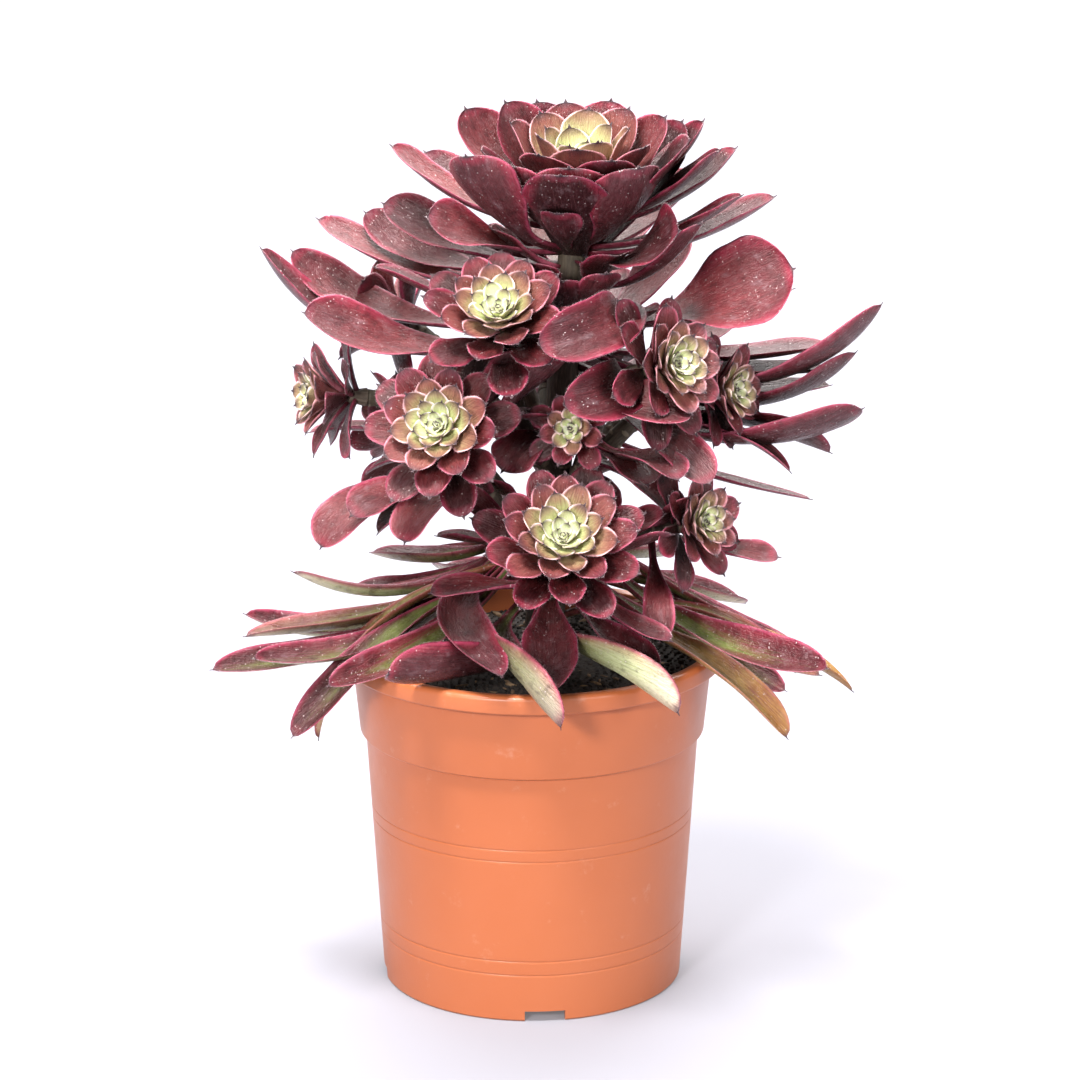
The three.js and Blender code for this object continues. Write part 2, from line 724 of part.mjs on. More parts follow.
// Radius of the largest round thing that clears the faceted inner wall at a height.
function insideRadius(height) {
  const foot = POT_INSIDE.findIndex(([, level]) => level <= height);
  const [r0, z0] = POT_INSIDE[foot];
  const [r1, z1] = POT_INSIDE[foot - 1];
  const radius = r0 + ((r1 - r0) * (height - z0)) / (z1 - z0);
  return radius * Math.cos(Math.PI / POT.sides) - GAP;
}

function potSolid() {
  const profile = [
    [0, 0],
    [POT.channelInner, 0],
    [POT.channelInner + 1, POT.channelHeight],
    [POT.channelOuter - 1, POT.channelHeight],
    [POT.channelOuter, 0],
    [POT.baseRadius - 1, 0],
    [POT.baseRadius, 1],
    [POT.bodyTopRadius, POT.collarFoot],
    [POT.collarFootRadius, POT.collarFoot + 1.5],
    [POT.collarTopRadius, POT.lipFoot],
    [POT.lipRadius, POT.lipFoot],
    [POT.lipRadius, POT.height - POT.lipRound],
    [POT.lipRadius - POT.lipRound, POT.height],
    ...POT_INSIDE,
    [POT.channelInner + 2, POT_FLOOR_TOP],
    [POT.channelInner - 3, POT.floor],
    [0, POT.floor],
  ].map(([radius, height]) => new THREE.Vector2(radius, height));
  const turned = new THREE.LatheGeometry(profile, POT.sides);
  turned.rotateX(Math.PI / 2);
  let pot = solidFromGeometry(turned);
  for (let k = 0; k < POT.notchCount; k += 1) {
    const turn = ((k + 0.5) * 360) / POT.notchCount;
    const notch = new THREE.BoxGeometry(POT.notchWidth, 14, POT.channelHeight + 2);
    notch.translate(0, -POT.baseRadius, POT.channelHeight / 2 - 1);
    notch.rotateZ(radians(POT.notchTurn + (k * 360) / POT.notchCount));
    const drain = new THREE.CylinderGeometry(POT.drainRadius, POT.drainRadius, 2 * POT.floor, 12);
    drain.rotateX(Math.PI / 2);
    drain.translate(0, -(POT.channelInner + POT.channelOuter) / 2, POT.channelHeight + POT.floor / 2);
    drain.rotateZ(radians(turn));
    pot = pot.subtract(solidFromGeometry(notch)).subtract(solidFromGeometry(drain));
  }
  return pot;
}

// Soil: fills the pot to just under its rim, with a lumpy top and a plain hole for the trunk.
function soilSolid() {
  const bottom = POT_FLOOR_TOP + GAP;
  const foot = trunkAt(TRUNK.foot[2]);
  const middle = trunkAt(SOIL.top);
  const edge = insideRadius(SOIL.top - 2);
  const rows = [
    { radius: insideRadius(bottom), height: bottom },
    { radius: insideRadius(POT.collarFoot), height: POT.collarFoot },
    { radius: insideRadius(POT.collarFoot + 3), height: POT.collarFoot + 3 },
    { radius: edge, height: SOIL.top - 2 },
    { radius: 0.72 * edge, height: SOIL.top, lumps: 1 },
    { radius: 0.42 * edge, height: SOIL.top + 1, lumps: 1 },
    { radius: SOIL.holeRadius, height: SOIL.top, centre: middle },
    { radius: SOIL.holeRadius, height: foot.z - GAP, centre: foot },
  ];
  const rings = rows.map(({ radius, height, lumps = 0, centre = vector(0, 0, 0) }, row) => {
    const ring = [];
    for (let k = 0; k < SOIL.sides; k += 1) {
      const a = (2 * Math.PI * k) / SOIL.sides;
      const lift = lumps * SOIL.unevenness * noise(k, row);
      ring.push(vector(centre.x + radius * Math.cos(a), centre.y + radius * Math.sin(a), height + lift));
    }
    return ring;
  });
  rings.push([vector(foot.x, foot.y, foot.z - GAP)]);
  const cap = [];
  for (let k = 1; k + 1 < SOIL.sides; k += 1) cap.push([0, k, k + 1]);
  return loft(rings, cap);
}

// ---- the scene graph ----

function finish(colour, roughness) {
  return new THREE.MeshStandardMaterial({ color: colour, roughness, metalness: 0 });
}

const FINISH = {
  pot: finish('#e2673a', 0.42),
  soil: finish('#2b2420', 0.95),
  stem: finish('#6c5a45', 0.75),
  leaf: finish('#6b2c3b', LEAF_ROUGHNESS),
};

const plant = new THREE.Group();

function place(name, shape, material) {
  const mesh = new THREE.Mesh(geometryFromSolid(shape), material);
  mesh.name = name;
  plant.add(mesh);
}

place('pot', potSolid(), FINISH.pot);
place('soil', soilSolid(), FINISH.soil);
for (const [name, shape] of growPlant()) {
  place(name, shape, name.startsWith('stem') ? FINISH.stem : FINISH.leaf);
}

export default plant;
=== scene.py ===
# A potted aeonium: an orange plastic nursery pot of soil, and one branching plant with a main head, thirteen
# side heads and a skirt of long drooping leaves. Lengths are in millimetres, as in the solids, until they
# become a mesh. -Y is the front, +X the right and +Z up.
import math
from collections import namedtuple

import bpy
import numpy as np
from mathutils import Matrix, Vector, noise as perlin


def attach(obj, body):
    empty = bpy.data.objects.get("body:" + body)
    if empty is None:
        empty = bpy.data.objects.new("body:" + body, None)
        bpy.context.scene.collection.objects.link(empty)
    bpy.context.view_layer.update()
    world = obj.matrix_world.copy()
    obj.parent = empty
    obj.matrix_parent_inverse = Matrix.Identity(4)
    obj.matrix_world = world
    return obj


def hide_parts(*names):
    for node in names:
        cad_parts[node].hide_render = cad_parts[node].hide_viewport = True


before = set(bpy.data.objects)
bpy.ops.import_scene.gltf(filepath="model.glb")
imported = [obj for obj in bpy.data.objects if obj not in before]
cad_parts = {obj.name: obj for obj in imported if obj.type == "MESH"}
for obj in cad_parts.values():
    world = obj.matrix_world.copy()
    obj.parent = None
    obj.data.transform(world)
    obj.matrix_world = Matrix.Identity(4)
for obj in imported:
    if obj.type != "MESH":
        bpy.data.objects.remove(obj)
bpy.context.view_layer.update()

MM = 0.001
UP = np.array([0.0, 0.0, 1.0])


def new_object(name, data):
    made = bpy.data.objects.new(name, data)
    bpy.context.scene.collection.objects.link(made)
    return made


# ---- camera: the photograph's viewing angle ----

CAMERA = {"lens": 160, "sensor": 36, "pitch": 16.45, "place": (4.373, -2498.79, 985.354)}


def make_camera():
    data = bpy.data.cameras.new("camera")
    data.lens = CAMERA["lens"]
    data.sensor_width = CAMERA["sensor"]
    camera = new_object("camera", data)
    camera.location = [MM * v for v in CAMERA["place"]]
    camera.rotation_euler = (math.radians(90 - CAMERA["pitch"]), 0, 0)
    bpy.context.scene.camera = camera


# ---- layout of the plant, in millimetres and degrees ----

GAP = 0.4  # between a branch and the short stem of its head
GOLDEN_ANGLE = 137.508
ROOT_ROW = 0.5  # leaves are rooted along this share of the longest leaf
TRUNK_FOOT = (5, 0, 122)
TRUNK_LEAN = (19 / 262, -5 / 262)  # sideways for each millimetre of height
SOIL_LEVEL = 178
TRUNK_RADII = (12.5, 8.5)  # at the foot and at the top
TRUNK_TOP = 300
BRANCH_RADII = (5.6, 4.4)
BRANCH_LEAVE = (0.75, 0.66)  # outward and upward parts of the way a branch leaves the trunk
FOOT_OFFSET = 7  # of a long leaf's foot from the trunk's axis

# A head's centre, azimuth and elevation of its face, longest leaf, number of leaves, turn of the first one,
# how far the open and the oldest leaves lean from the axis, outward curl, width, height of its fork.
Head = namedtuple("Head", "centre azimuth elevation longest count first spread fall curl width fork")
HEADS = {
    "top": ((25, -3, 445), 6, 80, 92, 30, 0, 42, 38, -12, 0.62, 0),
    "front_high": ((-17, -64, 388), -5, 50, 50, 42, 40, 58, 68, 16, 0.56, 282),
    "front_left": ((-48, -84, 333), -14, 30, 48, 46, 0, 64, 78, 22, 0.56, 232),
    "front_low": ((16, -100, 276), 3, 42, 53, 48, 90, 62, 67, 18, 0.52, 206),
    "front_right": ((72, -64, 362), 44, 20, 43, 42, 10, 64, 78, 24, 0.58, 262),
    "right": ((104, -24, 338), 56, 12, 35, 34, 70, 64, 80, 26, 0.58, 272),
    "right_low": ((88, -64, 276), 46, 20, 36, 34, 30, 64, 80, 26, 0.58, 222),
    "middle": ((21, -66, 328), -10, 16, 28, 26, 20, 62, 78, 26, 0.6, 290),
    "left": ((-111, -22, 335), -72, 8, 39, 34, 15, 60, 86, 30, 0.58, 248),
    "left_high": ((-80, 52, 368), -125, 30, 42, 32, 55, 64, 80, 24, 0.58, 284),
    "back": ((10, 92, 322), 175, 22, 46, 34, 0, 64, 80, 24, 0.58, 240),
    "back_high": ((-6, 68, 386), 170, 34, 42, 32, 33, 64, 80, 24, 0.58, 288),
    "back_right": ((80, 62, 318), 128, 16, 44, 32, 120, 64, 80, 24, 0.58, 256),
    "back_left": ((-70, 66, 296), -142, 14, 42, 32, 12, 64, 80, 24, 0.58, 220),
}
HEADS = {name: Head(*row) for name, row in HEADS.items()}

SKIRT_FOLD, CROWN_FOLD = 0.7, 0.35  # how far a long leaf's margins stand up, as a share of its half width

# Long leaves on the trunk: azimuth, height of the foot, reach from the trunk's axis, height of the tip,
# slope at the foot, slope at the tip, width and, where not 0, twist and sideways swing of the foot.
SKIRT_LEAVES = (
    (-72, 252, 190, 193, -46, 2, 20, -25),
    (-66, 258, 173, 203, -48, 14, 20, -20),
    (-83, 262, 167, 212, -50, 30, 20, -15),
    (-77, 248, 168, 205, -34, 0, 19),
    (-95, 264, 142, 226, -52, 30, 16, 20),
    (-113, 256, 120, 206, -40, 0, 19),
    (-122, 258, 118, 222, -35, 5, 19),
    (-62, 228, 154, 160, 5, -40, 20, -30),
    (-53, 262, 148, 194, -56, -2, 20, -30),
    (-69, 238, 133, 151, 0, -80, 17, 20),
    (-37, 222, 139, 207, -50, 10, 30, 65, 30),
    (-13, 246, 113, 206, -25, -15, 27, 0, -75),
    (0, 238, 117, 199, -30, -15, 30),
    (3, 222, 134, 186, -25, -45, 26, -75, -45),
    (31, 236, 113, 206, -45, -5, 17, 40),
    (29, 226, 140, 190, -35, -35, 28, -65, -30),
    (57, 262, 172, 205, -44, 6, 24, 30),
    (69, 244, 135, 178, -45, -25, 17, 50),
    (60, 224, 147, 160, -20, -45, 19, 10),
    (79, 222, 150, 180, -15, -10, 20, 20),
    (87, 204, 137, 177, 20, -40, 16),
    (97, 216, 170, 155, -15, -40, 16),
    (96, 262, 142, 171, -38, -30, 16),
    (110, 250, 151, 166, -28, -25, 20),
    (104, 232, 140, 162, -20, -40, 19),
)
# Rows of the skirt that are drying and how far, and how olive the dark ones in front are.
YELLOWED = {18: 0.75, 19: 0.35, 20: 0.2, 21: 0.9, 3: 0.15, 9: 0.3}
BURGUNDY = {10: 0.2, 11: 0.15, 12: 0.1, 14: 0.2, 13: 0.5}

CROWN_LEAVES = (
    (-93, 362, 163, 408, -20, 62, 38),
    (-72, 365, 145, 386, -15, 30, 40, -30),
    (-103, 369, 152, 401, -8, 45, 26, -40),
    (-100, 391, 137, 421, -8, 35, 30, -10),
    (-108, 395, 116, 422, -5, 40, 26, -40),
    (-92, 401, 100, 434, 0, 35, 34, -30),
    (-78, 374, 104, 405, -5, 25, 24),
    (-69, 410, 82, 434, 0, 25, 32, -40),
    (-93, 422, 97, 465, 5, 45, 28, -10),
    (-120, 427, 93, 453, 10, 45, 30, -10),
    (-113, 433, 64, 481, 25, 70, 36, -20),
    (-51, 411, 72, 470, 15, 65, 42, 20),
    (-41, 419, 53, 464, 25, 70, 36),
    (-3, 415, 52, 465, 20, 75, 40),
    (36, 415, 57, 464, 15, 72, 46),
    (45, 404, 78, 432, -5, 35, 44, 45),
    (104, 430, 70, 476, 25, 65, 30),
    (82, 424, 77, 466, 15, 50, 30),
    (102, 421, 88, 461, 12, 50, 30),
    (76, 412, 91, 444, 5, 40, 28),
    (96, 408, 108, 436, 0, 35, 32),
    (57, 392, 81, 434, 0, 55, 24),
    (78, 366, 122, 405, 5, 30, 56, 52),
    (94, 368, 121, 386, 0, 25, 36),
    (91, 357, 169, 379, -30, 60, 34, -30),
    (105, 355, 148, 348, -8, 10, 28),
    (101, 340, 147, 336, 0, 0, 26),
    (93, 346, 157, 351, -25, 50, 30, -30),
    (83, 335, 161, 327, -30, 35, 34, -40),
    (99, 332, 147, 329, 0, 10, 26),
    (91, 325, 145, 297, -5, -25, 32, -30),
    (82, 321, 124, 292, -5, -45, 18),
    (92, 314, 136, 270, -25, -12, 12),
    (-10, 378, 92, 381, 15, -15, 31, -75, 90),
    (0, 338, 97, 350, 10, -5, 31, -65, 85),
    (44, 318, 112, 303, 30, -35, 26, 20),
    (-5, 372, 48, 404, 40, 55, 25),
    (22, 378, 52, 408, 35, 60, 24),
    (-28, 384, 46, 412, 35, 60, 26),
    (40, 352, 60, 376, 25, 40, 26),
)

# Long leaves spread by the golden angle over a sector of the trunk: how many, the sector's start and size,
# lowest and highest foot, reach, height of the tip over the foot, slopes, width.
BACK_SKIRT = (7, 128, 104, 230, 264, 150, -40, -20, -10, 25)
FRONT_CROWN = (10, -85, 170, 304, 418, 66, 20, 18, 35, 25)
FRONT_FILL = (7, -80, 160, 236, 296, 66, 20, 22, 20, 24)
BACK_CROWN = (11, 122, 116, 330, 428, 120, 34, 2, 40, 31)

# Long leaves on the branches: the branch's head, share of its length, azimuth, reach, height of the tip over
# the foot, and the rest as on the trunk.
BRANCH_LEAVES = (
    ("left", 0.3, -61, 104, -21, 0, -55, 30, -20),
    ("front_left", 0.64, -63, 74, -11, -10, -30, 28, -20),
    ("front_left", 0.66, -36, 62, -22, -20, -60, 26),
    ("front_left", 0.59, -74, 57, -22, -20, -50, 20),
    ("left", 0.46, -102, 56, -14, -10, -40, 14),
    ("left", 0.63, -100, 72, -6, -10, -15, 16),
    ("right_low", 0.86, 5, 44, -46, -60, -80, 17),
    ("front_low", 0.92, 60, 67, -27, -25, -5, 20),
    ("right_low", 0.92, 91, 64, -15, -20, -5, 20, 20),
    ("front_right", 0.47, 32, 84, -3, -20, -25, 26),
    ("middle", 0.6, -50, 50, -10, 20, -40, 26, -30),
    ("middle", 0.8, 57, 70, 20, 55, -15, 32, 30, -50),
    ("front_low", 0.8, -80, 68, -4, -10, -10, 20, -20),
    ("front_left", 0.85, 68, 58, 58, 45, 40, 24, -30),
    ("front_left", 0.85, 52, 42, 62, 70, 55, 24, -30),
    ("front_left", 0.85, -110, 50, 40, 40, 50, 24, 30),
    ("front_low", 0.85, 75, 62, 28, 30, 20, 22, -20),
    ("right_low", 0.8, 40, 40, 30, 40, 50, 20),
    ("left", 0.8, -60, 14, 44, 80, 70, 24),
    ("left", 0.8, -20, 30, -12, 0, -20, 24, -30),
    ("front_low", 0.75, -85, 52, 50, 45, 40, 24, -25),
    ("front_low", 0.7, 70, 60, 44, 45, 30, 24, 25),
    ("front_right", 0.4, 30, 62, -4, 10, -30, 28),
    ("front_right", 0.3, 8, 62, -12, 10, -30, 28),
    ("front_right", 0.35, 55, 60, -22, 0, -40, 26),
    ("front_left", 0.5, -16, 57, 36, 45, 20, 27),
)

# ---- small helpers ----


def heading(azimuth, elevation):
    """Direction from an azimuth, 0 at the front and 90 at the right, and an elevation."""
    a, e = math.radians(azimuth), math.radians(elevation)
    return np.array([math.sin(a) * math.cos(e), -math.cos(a) * math.cos(e), math.sin(e)])


def noise(i, k):
    """A repeatable number from -1 to 1 for leaf i and purpose k."""
    x = math.sin(i * 12.9898 + k * 78.233) * 43758.5453
    return 2 * (x - math.floor(x)) - 1


def unit(v):
    return v / np.linalg.norm(v, axis=-1, keepdims=True)


def smooth(x, low, high):
    s = np.clip((x - low) / (high - low), 0, 1)
    return s * s * (3 - 2 * s)


def running(steps):
    """Sums of the steps so far, from 0."""
    return np.concatenate([[0], np.cumsum(steps)])


def sample(x, places, points):
    """Points at x along a line that is given by points at places."""
    return np.stack([np.interp(x, places, points[:, c]) for c in range(3)], 1)


def linear(code):
    """A colour as hex sRGB, in the linear values that shaders take."""
    parts = [int(code[k : k + 2], 16) / 255 for k in (0, 2, 4)]
    return tuple(c / 12.92 if c <= 0.04045 else ((c + 0.055) / 1.055) ** 2.4 for c in parts) + (1.0,)


# ---- meshes ----

FIELDS = ("leaf_place", "leaf_kind", "leaf_grain", "leaf_tint")


def raw_object(name, points, faces):
    mesh = bpy.data.meshes.new(name)
    mesh.from_pydata((np.asarray(points) * MM).tolist(), [], faces)
    return new_object(name, mesh)


class Growth:
    """Collects the vertices, faces and vertex fields of one piece, in millimetres."""

    def __init__(self):
        self.points, self.faces, self.material, self.count = [], [], [], 0
        self.fields = {name: [] for name in FIELDS}

    def add(self, points, faces, material=0, **fields):
        size = len(points)
        self.points.append(points)
        self.faces += [tuple(self.count + v for v in face) for face in faces]
        self.material += [material] * len(faces)
        for name in FIELDS:
            self.fields[name].append(np.broadcast_to(fields.get(name, (0.0, 0.0, 0.0)), (size, 3)))
        self.count += size

    def piece(self, name, materials, slot, *nodes):
        piece = raw_object(name, np.concatenate(self.points), self.faces)
        mesh = piece.data
        for field, values in self.fields.items():
            layer = mesh.attributes.new(field, "FLOAT_VECTOR", "POINT")
            layer.data.foreach_set("vector", np.concatenate(values).astype(np.float32).ravel())
        for material in materials:
            mesh.materials.append(material)
        mesh.polygons.foreach_set("material_index", self.material)
        mesh.polygons.foreach_set("use_smooth", [True] * len(mesh.polygons))
        mesh.update()
        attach(piece, "root")
        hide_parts(*nodes)


def vertex_field(shape, *parts):
    """One field for the vertices of a loft, from three values or arrays over its rows, its ring or both."""
    return np.stack([np.broadcast_to(part, shape) for part in parts], -1).reshape(-1, 3)


def loft_faces(rows, size):
    """Faces of a closed body of rows of points, its ends closed by one face each."""
    faces = []
    for r in range(rows - 1):
        for k in range(size):
            after = (k + 1) % size
            faces.append((r * size + k, (r + 1) * size + k, (r + 1) * size + after, r * size + after))
    faces.append(tuple(range(size)))
    faces.append(tuple((rows - 1) * size + k for k in reversed(range(size))))
    return faces


# ---- leaf blades ----

COLUMNS = 11
ACROSS = np.sin(np.linspace(-math.pi / 2, math.pi / 2, COLUMNS))
RING_ACROSS = np.concatenate([ACROSS, ACROSS[-2:0:-1]])  # over the upper face and back under the lower one
RING_FACE = np.concatenate([[0.0], np.ones(COLUMNS - 2), [0.0], -np.ones(COLUMNS - 2)])
RING = len(RING_ACROSS)
TOP_SHARE, UNDER_SHARE = 0.35, 0.65  # of the flesh over and under the middle surface
EDGE = 0.22  # half thickness of a blade's margin
POINT_HALF = 0.08  # half width of the tip of a blade's point
CUSP_START, CUSP_SHARE, CUSP_POWER = 0.955, 0.2, 1.3  # where the point starts, its share of the width, form
SECTION_POWER, FOLD_POWER = 2.6, 1.8  # how square a section is, and how far the fold keeps to the margins
RIPPLES, RIPPLE_SLANT = 2.1, 0.35  # waves of the margin along a blade, and how far they run aslant
WOBBLES, WOBBLE_SLANT, WOBBLE = 4.3, 0.5, 0.018  # the same for the small unevenness of the outline


def rows_to_tip(count, closeness):
    """Places along a blade, closer together towards its round end."""
    return 1 - (1 - np.linspace(0, 1, count)) ** closeness


HEAD_ROWS = rows_to_tip(15, 1.7)
LONG_ROWS = rows_to_tip(26, 1.45)
MUCRO = 2.0  # length of the dark point on a blade's tip


def cusped(half, widest, t, length):
    """Places along a blade and half widths there, with the little point that ends every blade."""
    reach = MUCRO * (0.45 + 0.55 * min(1, widest / 8)) / length
    left = np.clip(1 - (t - CUSP_START) / (0.045 + reach), 0, 1)
    cusp = CUSP_SHARE * widest * left**CUSP_POWER
    half = np.maximum(half, np.where(t > 0.9, cusp, 0))
    return np.append(t, 1 + reach), np.append(half, POINT_HALF)


def add_blade(growth, t, point, side, normal, half, fold, thick, length, seed, age, tint, wave, cilia):
    """A fleshy blade along its middle line, lens-shaped in section, with raised margins."""
    along, wide = t[:, None], half[:, None]
    u = RING_ACROSS[None, :]
    body = (1 - np.abs(u) ** SECTION_POWER) ** 0.5
    share = np.where(RING_FACE > 0, TOP_SHARE, -UNDER_SHARE) * (RING_FACE != 0)
    end = np.clip((1.02 - t) / 0.5, 0.12, 1) ** 0.6
    flesh = (thick * (1.3 - 0.6 * t) * end)[:, None]
    flesh = np.minimum(flesh, 1.4 * wide + 0.3)
    lift = (fold * half)[:, None] * np.abs(u) ** FOLD_POWER + share[None, :] * flesh * body
    lift = lift + EDGE * RING_FACE[None, :] * (1 - body) * np.minimum(1, wide)
    lift = lift + wave * wide * u * u * np.sin(2 * math.pi * (RIPPLES * along + RIPPLE_SLANT * u) + 5 * seed)
    wobble = np.sin(2 * math.pi * (WOBBLES * along + WOBBLE_SLANT * u) + 9 * seed)
    across = u * wide * (1 + WOBBLE * wobble)
    points = point[:, None] + side[:, None] * across[..., None] + normal[:, None] * lift[..., None]
    shape = (len(t), RING)
    growth.add(
        points.reshape(-1, 3), loft_faces(*shape),
        leaf_place=vertex_field(shape, u, along, wide * (1 - np.abs(u))),
        leaf_kind=vertex_field(shape, age, noise(seed, 20), RING_FACE),
        leaf_grain=vertex_field(shape, across, along * length, seed * 17.0),
        leaf_tint=tint,
    )
    if cilia:
        add_cilia(growth, t, points[:, [0, COLUMNS - 1]], side)


CILIA_STEP, CILIA_LENGTH, CILIA_RADIUS = 1.25, 0.75, 0.085
CILIA_START, CILIA_STOP = 0.3, 0.8  # share of the blade without hairs, and how far short of the tip they end
CILIA_ROOT = 0.12  # how deep a hair is rooted
CILIA_CORNERS = (0.0, 2.0944, 4.1888)


def add_cilia(growth, t, margins, side):
    """The fringe of fine pale hairs along both margins, each a slim three-sided spike."""
    for column, way in ((0, -1), (1, 1)):
        line = margins[:, column]
        run = running(np.linalg.norm(np.diff(line, axis=0), axis=1))
        start = np.interp(CILIA_START, t, run)
        places = np.arange(start, run[-1] - CILIA_STOP, CILIA_STEP)
        if len(places) == 0:
            continue
        places = places + 0.3 * np.sin(places * 7.1)
        at, ahead = sample(places, run, line), sample(places + 0.4, run, line)
        out = sample(places, run, way * side)
        along = unit(ahead - at + 1e-6 * out)
        out = unit(out - along * (out * along).sum(1, keepdims=True) + 1e-9)
        third = np.cross(along, out)
        lean = out + 0.35 * along + 0.25 * third * np.sin(places * 3.3)[:, None]
        tip = at + lean * (CILIA_LENGTH * (1 + 0.3 * np.sin(places * 5.7)))[:, None]
        base = at - CILIA_ROOT * out
        corners = [base + CILIA_RADIUS * (math.cos(a) * along + math.sin(a) * third) for a in CILIA_CORNERS]
        points = np.stack([*corners, tip], 1).reshape(-1, 3)
        faces = []
        for n in range(len(places)):
            o = 4 * n
            faces += [(o, o + 1, o + 3), (o + 1, o + 2, o + 3), (o + 2, o, o + 3), (o + 2, o + 1, o)]
        growth.add(points, faces, 1)


# ---- head leaves ----

BUDS = 9  # the smallest leaves, in the very middle of a head
BASE_BELOW = 4  # of a head's base under its lowest leaf
BUD_TILT = 5  # how far the youngest leaves lean from the axis
CURL_START = 0.57  # share of the curl that a leaf has against it at its foot
CURVE_STEPS = 120
HEAD_WAVE, LONG_WAVE = 0.05, 0.045  # of the margins, as a share of the half width
HAIRY_AGE = 0.3  # younger leaves have no hairs


def head_frame(name):
    head = HEADS[name]
    axis = heading(head.azimuth, head.elevation)
    side = unit(np.cross(UP, axis))
    return np.array(head.centre, float), axis, side, np.cross(axis, side)


def head_base(name):
    centre, axis, _, _ = head_frame(name)
    return centre - axis * (ROOT_ROW * HEADS[name].longest + BASE_BELOW)


def head_leaf_width(t):
    foot = 0.24 + 0.76 * (np.minimum(t, 0.7) / 0.7) ** 1.1
    return np.where(t <= 0.7, foot, foot * np.sqrt(np.clip(1 - ((t - 0.7) / 0.3) ** 2, 0, 1)))


def add_head_leaves(growth, name, first_seed, darkness):
    """The leaves of a head, from the youngest in the middle to the oldest outside, by the golden angle."""
    head = HEADS[name]
    longest, curl = head.longest, head.curl
    centre, axis, side, up = head_frame(name)
    for i in range(-BUDS, head.count):
        age = max(i + 0.5, 0.25 * (i + BUDS + 0.5) / BUDS) / head.count
        turn = math.radians(head.first + i * GOLDEN_ANGLE + 5 * noise(i, 1))
        radial = side * math.cos(turn) + up * math.sin(turn)
        tilt = BUD_TILT + (head.spread - BUD_TILT) * age**0.6
        tilt = tilt + (head.fall - head.spread) * smooth(age, 0.7, 1) + 3 * noise(i, 2)
        length = longest * (0.1 + 0.9 * age**0.85) * (1 + 0.05 * noise(i, 3))
        root = centre - axis * ROOT_ROW * longest * age**1.8 + radial * longest * (0.015 + 0.05 * age)
        if i < 0:
            root = root + axis * longest * (0.1 + 0.01 * i)
        widest = length * (head.width + 0.04 - 0.16 * age) / 2
        t, half = cusped(head_leaf_width(HEAD_ROWS) * widest, widest, HEAD_ROWS, length)
        angle = np.radians(tilt - CURL_START * curl + curl * t)
        fine = np.linspace(0, t[-1], CURVE_STEPS + 1)
        fine_angle = np.radians(tilt - CURL_START * curl + curl * (fine[:-1] + fine[1:]) / 2)
        run = running(np.sin(fine_angle)) * length * t[-1] / CURVE_STEPS
        rise = running(np.cos(fine_angle)) * length * t[-1] / CURVE_STEPS
        out, along = np.interp(t, fine, run)[:, None], np.interp(t, fine, rise)[:, None]
        point = root + out * radial + along * axis
        normal = -radial * np.cos(angle)[:, None] + axis * np.sin(angle)[:, None]
        across = np.broadcast_to(np.cross(axis, radial), normal.shape)
        turned = math.radians(7 * noise(i, 12))
        leaning = across * math.cos(turned) + normal * math.sin(turned)
        facing = normal * math.cos(turned) - across * math.sin(turned)
        add_blade(
            growth, t, point, leaning, facing, half, 0.34 - 0.14 * age, 1.3 + 1.1 * age, length,
            first_seed + i, age, (0.0, 0.0, darkness), HEAD_WAVE, age > HAIRY_AGE,
        )


# ---- long leaves ----

PULL = 0.38  # of a long leaf's span, from each end of its curve to the handle
LONG_THICKNESS = 2.6
CURVE_SAMPLES = 60
TANGENT_STEP = 0.01


def trunk_at(height):
    rise = height - SOIL_LEVEL
    x, y = TRUNK_FOOT[0] + TRUNK_LEAN[0] * rise, TRUNK_FOOT[1] + TRUNK_LEAN[1] * rise
    return np.array([x, y, height], float)


def bezier(t, points):
    t = np.asarray(t, float)[:, None]
    p = np.asarray(points, float)
    s = 1 - t
    return s**3 * p[0] + 3 * s * s * t * p[1] + 3 * s * t * t * p[2] + t**3 * p[3]


def long_leaf_width(t):
    stalk = 0.24 + 0.76 * smooth(t, 0.2, 0.76)
    return np.where(t <= 0.83, stalk, stalk * np.sqrt(np.clip(1 - ((t - 0.83) / 0.17) ** 2, 0, 1)))


